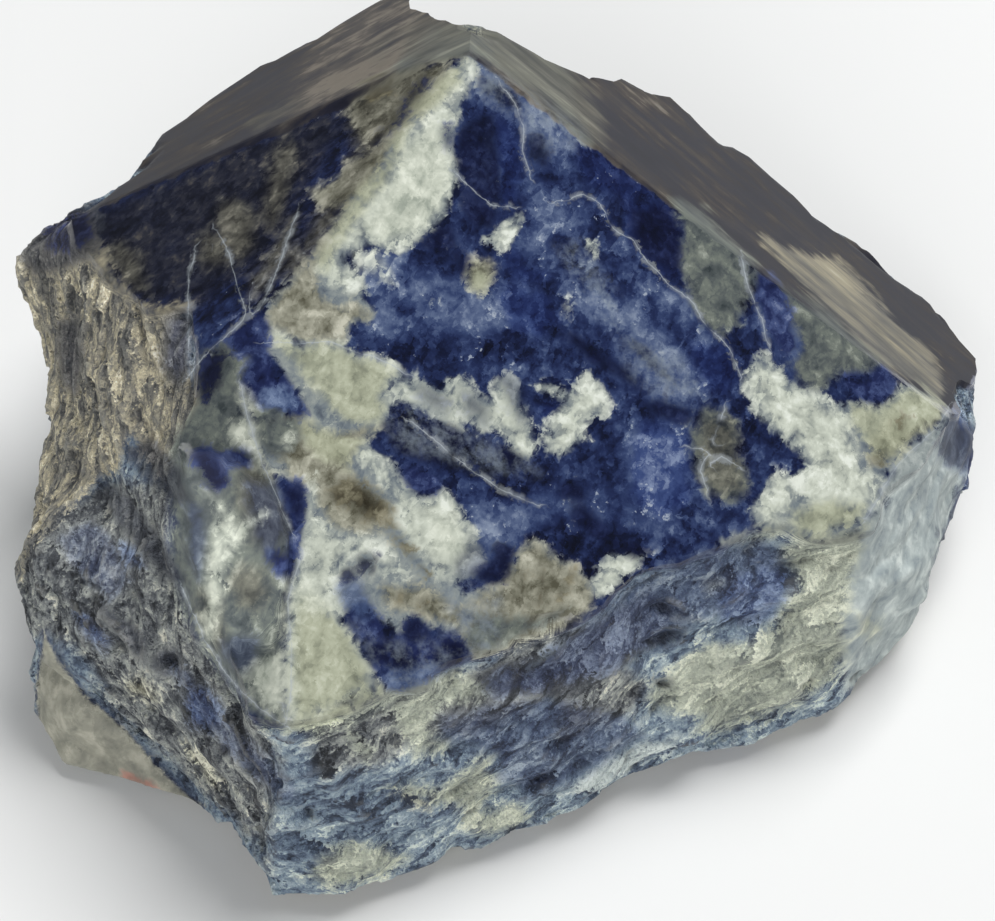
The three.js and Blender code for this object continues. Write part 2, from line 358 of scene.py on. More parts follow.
CRACK_AND_GLINT_REACH = (0.8, 1.5)  # the line of a crack and of a painted ridge highlight fades out between these distances from it
GUESS_FLATNESS = 0.5  # a guessed patch's size across the bedding, in its sizes along it
GUESS_SLOPE = 0.5  # how fast the depth inside it grows with its noise, in sizes
SEED_STEP = 11.7  # between the seeds of the kinds' guessed patches


def camera_sees(points, triangles):
    """1 where the photograph shows a point and 0 where it doesn't, with a soft border."""
    normals = point_normals(points, triangles)
    towards = EYE - points
    towards /= np.linalg.norm(towards, axis=1)[:, None]
    tree = bvhtree.BVHTree.FromPolygons(points.tolist(), triangles.tolist())
    seen = np.zeros(len(points))
    start = points + RAY_START * normals + RAY_START * towards
    for i in np.flatnonzero((normals * towards).sum(1) > FACING):
        seen[i] = tree.ray_cast(Vector(start[i]), Vector(towards[i]))[0] is None
    edges, _ = edges_of(triangles)
    for _ in range(SEEN_PASSES):
        seen = 0.5 * (seen + neighbour_mean(seen, edges, len(points)))
    return smoothstep(*SEEN_LEVEL, seen)


def depth_inside(outlines, places):
    """How far places in the photograph are inside any of the outlines, in millimetres."""
    deepest = np.full(len(places), -REACH)
    for outline in outlines.values():
        corners = np.array(outline, float)
        low = corners.min(0) - REACH / PIXEL
        high = corners.max(0) + REACH / PIXEL
        near = ((places > low) & (places < high)).all(1)
        if near.any():
            depth = signed_distance(places[near], corners, np.roll(corners, -1, axis=0)) * PIXEL
            deepest[near] = np.maximum(deepest[near], depth)
    return np.clip(deepest, -REACH, REACH)


def guessed_inside(points, size, share, seed):
    """The same measure for patches of one kind where the photograph shows nothing."""
    patches = noise_at(bedded(points, size, GUESS_FLATNESS * size), seed)
    level = np.quantile(patches, 1 - share)
    return np.clip((patches - level) * size * GUESS_SLOPE, -REACH, REACH)


def beside_cracks_and_glints(places):
    """Signed distance to the nearest of the pale lines, the cracks and the painted ridge highlights, in
    millimetres, and how close its line is, from 0 to 1.
    """
    signed = np.full(len(places), REACH)
    for line in CRACKS_AND_GLINTS.values():
        corners = np.array(line, float)
        for start, end in zip(corners[:-1], corners[1:]):
            along = end - start
            offset = places - start
            t = np.clip(offset @ along / (along @ along), 0, 1)
            distance = np.linalg.norm(offset - t[:, None] * along, axis=1) * PIXEL
            side = np.sign(along[0] * offset[:, 1] - along[1] * offset[:, 0])
            signed = np.where(distance < np.abs(signed), side * distance, signed)
    return signed, 1 - smoothstep(*CRACK_AND_GLINT_REACH, np.abs(signed))


def hollows(edges, points, normals):
    """How far each point lies below its neighbours, from about -1 on edges to 1 in crevices."""
    bend = ((neighbour_mean(points, edges, len(points)) - points) * normals).sum(1)
    for _ in range(HOLLOW_PASSES):
        bend = 0.5 * (bend + neighbour_mean(bend, edges, len(points)))
    return np.clip(bend / DEEP_HOLLOW, -1, 1)


def stone_surface():
    """The fine surface: points, triangles, and how broken and how hollow each point is."""
    points, triangles = stone_triangles(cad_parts["sodalite"])
    planes, label = find_flats(points, triangles)
    points, triangles, label = refined(points, triangles, label)
    shell = triangles[label < 0]
    crown = [(n, r) for n, r in planes if n[2] > 0]
    below = np.min([r - points @ n for n, r in crown], axis=0)  # depth under the crown's flats
    broken = smoothstep(*RELIEF_DEPTH, below) * smoothstep(*RELIEF_HEIGHT, points[:, 2])
    for k in range(len(planes)):
        broken[np.unique(triangles[label == k])] = 0
    edges, _ = edges_of(shell)
    for _ in range(EVENING_PASSES):
        points += 0.5 * (broken > 0)[:, None] * (neighbour_mean(points, edges, len(points)) - points)
    normals = point_normals(points, shell)
    moving = np.flatnonzero(broken > 0)
    seen = camera_sees(points, triangles)[moving]
    places = pixels(points[moving])
    smooth = seen * smoothstep(*SMOOTH_EDGE, depth_inside(SMOOTH, places))
    pit = seen * smoothstep(*PIT_EDGE, depth_inside(PITS, places))
    calm = seen * smoothstep(*CALM_EDGE, depth_inside(CALM, places))
    height = relief_at(points[moving]) * (1 - SMOOTH_LOSS * smooth) * (1 - CALM_LOSS * calm)
    height -= PIT_DEPTH * pit
    points[moving] += normals[moving] * (height * broken[moving])[:, None]
    points[:, 2] = np.maximum(points[:, 2], 0)
    for n, r in crown:
        over = points @ n - r
        poking = (over > -UNDER_FLATS) & (broken > 0)
        points[poking] -= n * (over[poking] + UNDER_FLATS)[:, None]
    hollow = hollows(edges, points, point_normals(points, shell)) * (broken > 0)
    made = [shell]
    count = len(points)
    for k, (normal, _) in enumerate(planes):
        fresh, faces = flat_faces(points, triangles[label == k], normal)
        points = np.vstack([points, fresh])
        made.append(faces)
    broken, hollow = (np.pad(v, (0, len(points) - count)) for v in (broken, hollow))
    return points, np.vstack(made), broken, hollow


def markings(points, triangles, broken, hollow):
    """The values that the stone's material reads at each point."""
    seen = camera_sees(points, triangles)
    places = pixels(points)
    values = {"broken": broken, "hollow": hollow}
    for seed, (kind, (outlines, size, share)) in enumerate(KINDS.items()):
        shown = depth_inside(outlines, places)
        guess = guessed_inside(points, size, share, SEED_STEP * (seed + 1)) if share else -REACH
        values[kind] = seen * shown + (1 - seen) * guess
    values["smooth"] = seen * (depth_inside(SMOOTH, places) + REACH) - REACH
    values["crack_and_glint"], near = beside_cracks_and_glints(places)
    values["crack_and_glint_near"] = near * seen
    return values


def mesh_object(name, points, triangles, values):
    """A Blender object with these points and triangles, and the values as point attributes."""
    mesh = bpy.data.meshes.new(name)
    mesh.from_pydata((points * MM).tolist(), [], triangles.tolist())
    mesh.shade_smooth()
    mesh.set_sharp_from_angle(angle=SHARP)
    for key, value in values.items():
        layer = mesh.attributes.new(key, "FLOAT", "POINT")
        layer.data.foreach_set("value", np.asarray(value, np.float32))
    piece = bpy.data.objects.new(name, mesh)
    bpy.context.scene.collection.objects.link(piece)
    return piece


# ---- What shows in the stone: outlines in pixels of the photograph ----

PALE = {
    "right rim": [
        (800, 530), (836, 520), (862, 508), (878, 484), (892, 462), (930, 424), (944, 406), (950, 416),
        (934, 438), (900, 476), (888, 502), (868, 530), (840, 540), (804, 548),
    ],
    "upper": [
        (462, 58), (478, 58), (474, 78), (466, 94), (464, 112), (456, 128), (454, 150), (458, 168),
        (457, 186), (450, 202), (447, 216), (438, 228), (422, 238), (406, 248), (394, 255), (380, 250),
        (362, 250), (348, 256), (350, 266), (360, 276), (366, 296), (376, 312), (370, 324), (352, 324),
        (346, 344), (300, 343), (276, 332), (266, 320), (264, 306), (280, 288), (300, 268), (316, 250),
        (330, 234), (344, 214), (330, 198), (345, 176), (362, 160), (384, 140), (392, 128), (402, 110),
        (418, 92), (440, 74), (452, 64),
    ],
    "lower": [
        (262, 338), (270, 330), (284, 332), (300, 342), (332, 341), (352, 349), (376, 357), (392, 365),
        (408, 375), (386, 392), (396, 402), (386, 418), (380, 436), (366, 440), (374, 450), (390, 460),
        (404, 480), (420, 496), (436, 494), (446, 490), (458, 504), (470, 524), (482, 544), (482, 560),
        (474, 573), (458, 582), (466, 594), (482, 588), (500, 582), (512, 562), (522, 546), (534, 540),
        (548, 548), (562, 560), (578, 570), (590, 580), (600, 566), (610, 551), (624, 553), (644, 556),
        (622, 580), (588, 602), (548, 628), (500, 650), (474, 654), (464, 644), (458, 630), (440, 630),
        (424, 624), (414, 616), (404, 622), (406, 632), (398, 636), (386, 628), (376, 616), (366, 604),
        (357, 604), (344, 617), (346, 626), (358, 640), (366, 654), (372, 668), (376, 692), (345, 700),
        (300, 724), (284, 724), (284, 640), (291, 577), (298, 545), (304, 520), (305, 500), (296, 484),
        (284, 472), (264, 468), (254, 434), (262, 424), (300, 416), (306, 408), (296, 390), (284, 372),
        (272, 356),
    ],
    "right": [
        (744, 376), (756, 356), (766, 354), (776, 366), (790, 378), (802, 388), (820, 394), (836, 402),
        (850, 398), (862, 402), (876, 408), (886, 402), (894, 392), (900, 384), (912, 380), (930, 390),
        (948, 402), (944, 414), (930, 430), (905, 452), (890, 474), (878, 502), (866, 521), (840, 528),
        (820, 536), (800, 544), (786, 538), (770, 534), (754, 526), (748, 506), (760, 492), (774, 474),
        (790, 478), (806, 466), (796, 452), (784, 440), (770, 432), (760, 418), (750, 402), (742, 390),
    ],
}
WHITE = {
    "shard a": [(446, 646), (454, 630), (466, 614), (472, 606), (474, 614), (464, 630), (456, 644)],
    "shard b": [(436, 628), (448, 620), (462, 622), (476, 632), (470, 634), (458, 630), (446, 630)],
    "band below the peak": [
        (430, 106), (442, 97), (462, 110), (455, 128), (454, 150), (458, 168), (457, 186), (450, 202),
        (447, 216), (438, 228), (422, 238), (406, 248), (394, 255), (380, 250), (362, 250), (348, 256),
        (350, 266), (360, 276), (356, 290), (338, 292), (322, 282), (316, 268), (330, 246), (344, 220),
        (356, 204), (376, 180), (390, 162), (392, 142), (404, 128), (418, 128),
    ],
    "peak": [(452, 84), (462, 66), (476, 58), (472, 76), (462, 92), (454, 96)],
    "field": [
        (330, 341), (352, 347), (376, 356), (392, 364), (408, 374), (384, 392), (396, 402), (386, 418),
        (372, 428), (350, 424), (336, 420), (328, 434), (320, 430), (326, 412), (320, 396), (332, 380),
        (322, 360),
    ],
    "wavy band": [
        (400, 376), (408, 374), (430, 382), (442, 386), (448, 378), (462, 374), (472, 382), (476, 394),
        (490, 396), (494, 384), (502, 376), (514, 380), (522, 394), (528, 414), (534, 434), (537, 450),
        (528, 460), (514, 454), (504, 438), (492, 428), (480, 434), (472, 424), (462, 416), (464, 432),
        (452, 430), (436, 418), (420, 408), (404, 402), (390, 397), (382, 392),
    ],
    "forked patch": [
        (546, 424), (556, 414), (562, 404), (552, 396), (540, 392), (536, 386), (548, 382), (556, 386),
        (566, 390), (576, 386), (580, 374), (590, 370), (596, 382), (604, 392), (608, 406), (606, 418),
        (596, 416), (586, 422), (582, 436), (590, 440), (578, 442), (572, 450), (562, 456), (548, 454),
        (545, 440),
    ],
    "diagonal band": [
        (352, 456), (360, 442), (372, 446), (382, 462), (392, 470), (398, 482), (416, 494), (436, 494),
        (446, 490), (458, 504), (468, 524), (480, 542), (480, 560), (472, 572), (456, 580), (440, 584),
        (424, 572), (410, 556), (398, 540), (390, 526), (394, 512), (388, 496), (376, 484), (366, 470),
        (352, 466),
    ],
    "left field": [
        (318, 470), (316, 492), (318, 510), (330, 525), (350, 535), (372, 535), (384, 542), (396, 556),
        (410, 572), (402, 586), (390, 584), (376, 574), (374, 560), (362, 556), (352, 562), (344, 572),
        (338, 584), (342, 596), (352, 610), (356, 628), (364, 650), (370, 668), (366, 676), (345, 690),
        (322, 706), (300, 722), (286, 722), (284, 690), (286, 640), (292, 577), (298, 545), (304, 520),
        (306, 500), (308, 480),
    ],
    "left crystal": [(268, 336), (278, 329), (290, 334), (300, 342), (292, 349), (280, 349), (270, 343)],
    "crystal": [
        (482, 236), (496, 230), (508, 216), (520, 212), (527, 220), (518, 228), (512, 240), (504, 251),
        (494, 248), (484, 243),
    ],
    "small crystal": [(585, 243), (592, 239), (599, 250), (598, 257), (591, 252)],
    "speck a": [(424, 302), (436, 295), (438, 302), (428, 308)],
    "speck b": [(564, 299), (569, 300), (575, 314), (571, 319), (564, 310)],
    "speck c": [(374, 262), (380, 260), (388, 272), (392, 284), (384, 280)],
    "tan foot": [
        (602, 562), (610, 549), (624, 552), (646, 560), (630, 580), (610, 596), (594, 600), (588, 580),
    ],
    "right field": [
        (744, 376), (756, 356), (766, 354), (776, 366), (790, 378), (802, 388), (820, 394), (836, 402),
        (850, 404), (858, 418), (856, 440), (862, 462), (884, 474), (878, 500), (866, 518), (840, 524),
        (820, 532), (800, 540), (790, 536), (792, 520), (800, 504), (796, 490), (800, 478), (806, 466),
        (796, 452), (784, 440), (770, 432), (760, 418), (750, 402), (742, 390),
    ],
    "right corner": [
        (896, 392), (910, 382), (930, 392), (944, 404), (940, 420), (920, 434), (904, 436), (898, 412),
    ],
    "milky corner": [
        (750, 502), (768, 488), (776, 470), (790, 478), (794, 500), (786, 520), (776, 532), (760, 528),
    ],
}
for name in ("wavy band", "forked patch", "crystal", "small crystal"):
    PALE[name] = WHITE[name]
TAN = {
    "low crystal": [
        (482, 590), (500, 582), (512, 562), (522, 546), (534, 540), (548, 548), (562, 560), (578, 570),
        (590, 580), (596, 602), (578, 620), (556, 636), (524, 646), (490, 656), (474, 658), (464, 642),
        (468, 604),
    ],
    # Partly painted shade: where the white band runs onto the left flat, its darker copy is painted tan.
    "along the ridge": [
        (404, 70), (440, 58), (462, 58), (446, 76), (440, 94), (430, 106), (404, 128), (392, 142),
        (390, 162), (372, 184), (352, 206), (340, 226), (326, 250), (314, 268), (318, 282), (326, 300),
        (342, 306), (356, 300), (372, 314), (366, 322), (350, 322), (344, 340), (300, 342), (276, 330),
        (266, 318), (272, 298), (296, 272), (316, 254), (334, 234), (344, 212), (318, 204), (312, 192),
        (335, 178), (352, 158), (372, 146), (384, 138), (364, 140), (352, 122), (346, 100), (376, 84),
    ],
    "middle": [
        (262, 425), (280, 414), (300, 414), (318, 430), (340, 432), (364, 424), (384, 426), (380, 436),
        (364, 440), (352, 456), (350, 470), (372, 484), (392, 500), (396, 516), (388, 530), (360, 534),
        (336, 528), (318, 510), (314, 484), (300, 484), (280, 462), (268, 458),
    ],
    "speckles": [
        (376, 590), (384, 582), (402, 586), (420, 582), (436, 590), (452, 600), (468, 606), (462, 642),
        (458, 628), (440, 626), (426, 620), (410, 612), (396, 612), (384, 604),
    ],
    "blot in the diagonal band": [(420, 508), (436, 504), (454, 510), (456, 524), (440, 532), (424, 524)],
    "crystal": [
        (467, 262), (478, 257), (492, 262), (496, 270), (490, 284), (480, 294), (471, 288), (465, 276),
    ],
    "right corner": [
        (866, 440), (886, 420), (900, 405), (925, 394), (946, 404), (940, 424), (918, 438), (900, 452),
        (885, 470), (868, 466),
    ],
    "spot on the front": [(384, 792), (404, 790), (432, 800), (430, 812), (408, 804)],
    "lip a": [(122, 684), (140, 678), (154, 690), (160, 704), (146, 700), (130, 696)],
    "lip b": [(186, 752), (200, 750), (214, 770), (224, 794), (214, 790), (198, 768)],
}
GREY = {
    "low crystal, base": [
        (474, 652), (462, 640), (474, 614), (504, 616), (540, 620), (568, 608), (548, 626), (520, 636),
        (490, 648),
    ],
    "quartz": [
        (256, 424), (278, 412), (296, 416), (302, 436), (296, 452), (280, 460), (264, 456), (254, 440),
    ],
    "cap": [
        (400, 70), (430, 28), (470, 24), (520, 40), (566, 68), (572, 96), (590, 140), (560, 118), (530, 86),
        (500, 66), (469, 52), (440, 58),
    ],
    "front left flat": [
        (196, 366), (206, 352), (226, 340), (240, 356), (252, 350), (240, 392), (252, 434), (264, 468),
        (290, 527), (286, 577), (284, 690), (290, 732), (262, 724), (226, 680), (196, 640), (182, 600),
        (170, 560), (174, 520), (166, 480), (172, 440), (200, 400),
    ],
    "under the triangle": [(252, 396), (300, 414), (280, 416), (262, 428), (256, 440), (250, 420)],
    "patch": [
        (700, 412), (712, 406), (724, 414), (737, 420), (740, 436), (736, 452), (744, 470), (749, 486),
        (744, 497), (728, 502), (714, 496), (702, 484), (694, 468), (692, 450), (692, 432),
    ],
    "right flat, green": [
        (678, 200), (700, 212), (735, 242), (752, 260), (762, 280), (745, 300), (738, 324), (715, 334),
        (700, 320), (690, 300), (684, 270), (682, 240),
    ],
    "right flat, olive": [
        (776, 284), (800, 298), (830, 314), (846, 330), (870, 350), (892, 368), (880, 366), (862, 372),
        (840, 374), (824, 388), (800, 384), (790, 366), (800, 348), (796, 330), (782, 310),
    ],
}
BUFF = {
    "left wall": [
        (0, 240), (40, 206), (84, 206), (100, 240), (110, 262), (130, 290), (150, 308), (188, 302),
        (192, 330), (190, 362), (206, 402), (184, 440), (182, 470), (160, 480), (130, 440), (118, 470),
        (100, 480), (70, 510), (40, 540), (20, 580), (0, 570),
    ],
    "bands at the right": [
        (840, 262), (880, 300), (930, 356), (950, 392), (944, 404), (900, 380), (860, 346), (830, 312),
        (800, 280), (760, 236),
    ],
}
SAND = {
    "front rim": [
        (296, 728), (350, 706), (382, 690), (440, 670), (474, 676), (440, 692), (392, 708), (352, 726),
        (316, 738),
    ],
    "front upper": [
        (388, 704), (404, 696), (420, 690), (436, 674), (452, 668), (472, 674), (494, 690), (478, 700),
        (452, 706), (436, 716), (430, 730), (450, 740), (448, 750), (430, 756), (414, 758), (410, 744),
        (398, 728),
    ],
    "front middle": [
        (462, 770), (478, 756), (498, 752), (492, 768), (498, 786), (486, 800), (478, 812), (500, 806),
        (516, 802), (534, 816), (520, 832), (480, 838), (462, 826), (466, 812), (440, 806), (418, 800),
        (396, 792), (384, 786), (404, 784), (440, 786),
    ],
    "front low": [(318, 852), (350, 838), (380, 846), (410, 856), (384, 878), (330, 890), (306, 876)],
    "front notch": [(340, 722), (352, 728), (362, 742), (378, 748), (366, 762), (354, 752)],
    "front right": [
        (640, 700), (652, 684), (672, 668), (690, 652), (712, 640), (742, 642), (768, 628), (782, 604),
        (796, 590), (790, 574), (776, 560), (780, 544), (796, 536), (840, 528), (868, 520), (866, 548),
        (852, 580), (846, 620), (852, 650), (836, 680), (800, 705), (760, 720), (720, 734), (694, 734),
        (700, 720), (680, 716), (654, 706),
    ],
    "front streak": [(660, 606), (680, 612), (700, 620), (680, 622), (664, 616)],
    "front spot": [(700, 580), (716, 574), (734, 580), (724, 592), (706, 596)],
    "front crest": [(716, 544), (745, 536), (766, 526), (784, 528), (790, 534), (770, 540), (740, 546)],
    "right spot": [(858, 616), (876, 616), (880, 630), (866, 640), (858, 632)],
}
ASH = {
    "right wall": [
        (860, 518), (884, 500), (892, 474), (908, 452), (950, 412), (966, 470), (945, 535), (932, 590),
        (918, 645), (880, 676), (842, 694), (836, 640), (840, 590), (854, 548),
    ],
    "front, pale blue": [(520, 670), (540, 652), (566, 636), (572, 648), (548, 664), (524, 684)],
    "front, low": [(560, 790), (640, 745), (700, 728), (640, 765), (590, 795)],
}
RUST = {
    "low crystal, a": [(536, 606), (536, 586), (547, 556), (552, 557), (545, 588), (542, 608)],
    "low crystal, b": [(556, 602), (562, 584), (572, 570), (576, 572), (566, 590), (561, 604)],
    "low crystal, c": [(508, 606), (516, 590), (522, 570), (526, 571), (522, 592), (513, 608)],
    "below the blot": [(386, 514), (396, 526), (414, 548), (432, 574), (428, 580), (408, 556), (388, 530)],
    "speckle a": [(392, 596), (404, 590), (410, 598), (400, 606)],
    "speckle b": [(416, 604), (428, 598), (432, 608), (420, 612)],
    "blot": [
        (328, 492), (340, 480), (362, 480), (372, 486), (384, 496), (392, 508), (382, 522), (362, 520),
        (350, 512), (332, 504),
    ],
    "spot a": [(894, 420), (902, 414), (908, 424), (904, 434), (896, 430)],
    "spot b": [(872, 456), (882, 452), (890, 462), (880, 468)],
    "peak": [(356, 96), (374, 84), (392, 80), (394, 94), (376, 104), (362, 110)],
}
BLUE = {
    "in the white band": [(442, 130), (450, 127), (454, 140), (449, 152), (442, 144)],
    "left patch": [
        (188, 452), (198, 443), (212, 448), (222, 452), (236, 450), (254, 456), (250, 464), (236, 466),
        (224, 468), (228, 484), (216, 498), (206, 487), (198, 472), (190, 462),
    ],
    "triangle": [
        (242, 376), (254, 360), (264, 354), (274, 362), (286, 380), (298, 398), (307, 412), (300, 418),
        (284, 408), (266, 404), (250, 396),
    ],
    "sliver": [
        (284, 484), (298, 484), (307, 500), (303, 520), (298, 545), (293, 580), (284, 570), (288, 550),
        (292, 525), (287, 505),
    ],
    "beside the sliver": [(266, 552), (280, 547), (290, 558), (287, 576), (272, 566)],
    "low patch": [
        (350, 606), (366, 602), (376, 614), (386, 628), (398, 636), (406, 632), (404, 622), (414, 616),
        (424, 624), (428, 634), (436, 640), (446, 632), (456, 630), (464, 642), (470, 652), (462, 660),
        (446, 668), (430, 678), (414, 686), (400, 690), (390, 684), (388, 672), (374, 664), (366, 650),
        (358, 636), (346, 624), (344, 617),
    ],
    "islands": [(402, 470), (414, 463), (430, 472), (439, 484), (434, 494), (422, 495), (410, 486)],
    "left flat, corner": [
        (224, 338), (240, 322), (258, 310), (267, 328), (267, 348), (252, 358), (236, 352),
    ],
    "right spot": [
        (842, 376), (856, 372), (868, 380), (882, 364), (892, 372), (894, 390), (882, 402), (864, 398),
        (850, 390),
    ],
    "right, upper": [
        (756, 276), (774, 270), (788, 300), (792, 330), (802, 346), (788, 356), (772, 342), (764, 320),
        (757, 300),
    ],
}
DUSTY = {
    "triangle": [(262, 392), (284, 388), (300, 404), (290, 412), (266, 404)],
    "milky stream": [
        (340, 588), (352, 580), (362, 584), (370, 600), (376, 614), (366, 622), (354, 616), (344, 604),
    ],
    "low patch, milky": [
        (388, 670), (404, 662), (424, 666), (440, 664), (446, 668), (430, 680), (408, 690), (392, 688),
    ],
    "on the front wall": [
        (716, 594), (745, 574), (772, 562), (790, 572), (782, 596), (772, 614), (748, 624), (724, 620),
    ],
    "right wall": [(944, 430), (956, 408), (970, 430), (978, 450), (962, 470), (946, 462), (938, 446)],
    "lip a": [(186, 692), (202, 684), (214, 700), (222, 716), (210, 732), (192, 726), (184, 708)],
    "lip b": [(74, 612), (92, 618), (112, 640), (106, 652), (86, 634)],
    "lip c": [(122, 546), (134, 550), (144, 566), (128, 566)],
}
# Dark stone, and painted shade: under the lip, under the front flat's edge, in the valley and in the pits
# of the front and of the lip.
DARK_AND_SHADE = {
    "under the flat, a": [
        (500, 690), (530, 664), (580, 634), (620, 610), (650, 590), (684, 600), (660, 640), (620, 668),
        (560, 700),
    ],
    "left facet": [(196, 378), (206, 352), (222, 347), (230, 358), (222, 386), (208, 406), (199, 396)],
    "foot dot": [(145, 766), (154, 763), (158, 772), (149, 777)],
    "right wall, top": [(936, 446), (950, 414), (972, 428), (978, 452), (962, 468), (946, 464)],
    "nub": [(14, 246), (44, 206), (96, 200), (110, 226), (96, 254), (66, 268), (34, 276)],
    "under the flat, b": [(470, 676), (500, 664), (520, 660), (516, 676), (486, 690)],
    "beside the wall": [(120, 446), (150, 440), (184, 470), (196, 506), (170, 500), (140, 476)],
    "left wall, a": [(56, 322), (80, 316), (84, 360), (76, 396), (60, 380)],
    "front, dark a": [(640, 605), (664, 600), (682, 612), (664, 618), (646, 614)],
    "front, dark b": [(640, 640), (664, 628), (690, 626), (684, 640), (656, 652), (642, 650)],
    "front, dark c": [(655, 680), (672, 682), (674, 690), (660, 688)],
    "valley": [(100, 480), (130, 500), (160, 540), (190, 584), (170, 580), (140, 550), (118, 520)],
    "lip under": [
        (48, 630), (60, 650), (80, 684), (110, 714), (140, 744), (170, 770), (200, 804), (190, 800),
        (150, 762), (90, 704), (56, 664),
    ],
    "lip hollow a": [(100, 600), (124, 620), (150, 640), (146, 664), (120, 640), (96, 616)],
    "lip hollow b": [(150, 655), (175, 648), (184, 664), (166, 676), (152, 668)],
    "lip hollow c": [(215, 745), (232, 742), (232, 754), (220, 756)],
    "lip hollow d": [(242, 760), (262, 764), (256, 776), (244, 772)],
    "lip hollow e": [(302, 806), (312, 810), (316, 818), (306, 816)],
}
DEEP = {
    "peak a": [(484, 80), (502, 82), (520, 100), (522, 112), (500, 104), (486, 94)],
    "peak b": [(526, 138), (540, 134), (550, 150), (544, 166), (530, 160)],
    "nub": [(40, 222), (56, 208), (84, 210), (92, 236), (70, 252), (48, 246)],
    "drop a": [(358, 562), (364, 556), (374, 560), (374, 568), (364, 572)],
    "drop b": [(343, 572), (350, 570), (354, 577), (347, 581)],
    "low patch, middle": [
        (376, 646), (392, 640), (408, 650), (420, 664), (410, 672), (392, 668), (378, 658),
    ],
    "left patch": [(196, 456), (206, 450), (216, 462), (224, 480), (216, 492), (204, 476)],
    "sliver": [(288, 490), (298, 488), (303, 502), (298, 520), (292, 512)],
    "navy at the right": [
        (634, 210), (658, 208), (674, 222), (680, 250), (674, 272), (652, 260), (634, 236),
    ],
    "dark streak a": [(560, 330), (590, 344), (640, 380), (634, 386), (590, 360)],
    "dark streak b": [(384, 420), (400, 424), (430, 446), (470, 462), (462, 470), (420, 460), (394, 440)],
    "dark streak c": [(640, 400), (670, 404), (690, 412), (686, 420), (650, 414)],
    "pocket": [
        (460, 128), (478, 116), (492, 112), (495, 130), (497, 160), (500, 198), (504, 207), (490, 202),
        (474, 190), (462, 178), (457, 160), (456, 140),
    ],
    "below the pocket": [
        (460, 192), (472, 202), (486, 206), (494, 214), (492, 228), (482, 232), (474, 222), (464, 210),
    ],
    "below the band": [(420, 242), (436, 228), (446, 225), (454, 240), (448, 253), (434, 253)],
    "spot a": [(448, 254), (458, 250), (467, 262), (464, 275), (456, 268)],
    "spot b": [(424, 432), (440, 424), (458, 430), (466, 440), (456, 452), (440, 446)],
    "spot c": [(382, 424), (396, 422), (402, 430), (392, 436)],
    "spot d": [(500, 446), (512, 452), (528, 462), (514, 466), (500, 458)],
    "low patch, right": [
        (434, 652), (446, 640), (460, 640), (468, 652), (458, 662), (442, 667), (434, 660),
    ],
    "low patch, top": [(406, 626), (414, 616), (424, 624), (428, 636), (416, 642), (406, 638)],
    "low patch, left": [(360, 646), (372, 644), (384, 654), (378, 662), (368, 660)],
    "spot e": [
        (572, 508), (582, 503), (592, 516), (602, 528), (616, 540), (602, 540), (586, 528), (574, 520),
    ],
    "spot f": [
        (490, 546), (504, 541), (516, 550), (511, 562), (516, 572), (500, 583), (484, 581), (474, 575),
        (488, 566), (499, 560),
    ],
    "spot g": [(560, 492), (574, 482), (586, 490), (584, 500), (570, 498)],
    "slot": [(628, 338), (636, 340), (656, 360), (680, 382), (676, 387), (650, 366), (630, 346)],
    "spot h": [(602, 540), (622, 546), (636, 548), (644, 552), (636, 557), (618, 550)],
    "dark facet": [(198, 376), (206, 354), (219, 350), (226, 358), (219, 384), (208, 404), (202, 392)],
    "peak streak": [
        (384, 134), (398, 112), (411, 90), (420, 76), (434, 68), (424, 90), (412, 102), (400, 120),
    ],
}
MURK = {
    "left flat": [
        (80, 218), (180, 172), (262, 140), (330, 108), (340, 130), (310, 170), (292, 210), (262, 250),
        (232, 280), (206, 296), (192, 302), (150, 306), (129, 289), (102, 253),
    ],
    "dark facet": [(196, 380), (206, 352), (222, 347), (230, 360), (222, 388), (208, 406), (199, 398)],
    "left flat, low": [(204, 392), (224, 380), (232, 400), (226, 424), (208, 430)],
    "peak streak": [(346, 110), (372, 100), (384, 118), (366, 132), (350, 124)],
}
DUSK = {
    "right of the peak": [
        (578, 144), (602, 154), (626, 168), (650, 186), (650, 198), (620, 198), (596, 186),
    ],
    "low blue": [(496, 470), (560, 476), (640, 500), (650, 520), (600, 520), (540, 510), (500, 500)],
    "left flat": [
        (80, 218), (180, 172), (262, 140), (346, 98), (384, 138), (318, 190), (338, 208), (326, 240),
        (300, 268), (262, 312), (200, 344), (190, 302), (150, 306), (129, 289), (102, 253),
    ],
    "right flat, top": [
        (600, 196), (650, 200), (676, 208), (682, 240), (686, 290), (668, 280), (640, 250), (614, 226),
    ],
    "lens": [
        (564, 202), (580, 198), (592, 201), (602, 210), (612, 228), (608, 238), (592, 222), (578, 212),
    ],
    "veined patch": [
        (380, 420), (404, 404), (440, 424), (480, 436), (520, 458), (560, 462), (560, 486), (500, 500),
        (440, 460), (396, 456),
    ],
    "field edge": [(376, 340), (470, 336), (520, 330), (520, 360), (470, 372), (430, 376), (400, 366)],
    "right flat, left": [
        (720, 334), (750, 328), (790, 352), (800, 376), (780, 368), (760, 350), (740, 372),
    ],
    "right flat, upper": [(728, 284), (748, 280), (756, 300), (748, 318), (734, 306)],
    "right flat, back": [(800, 352), (842, 336), (860, 344), (846, 360), (812, 366)],
    "low edge": [
        (540, 500), (570, 490), (640, 540), (650, 556), (600, 560), (590, 582), (560, 558), (524, 538),
    ],
}
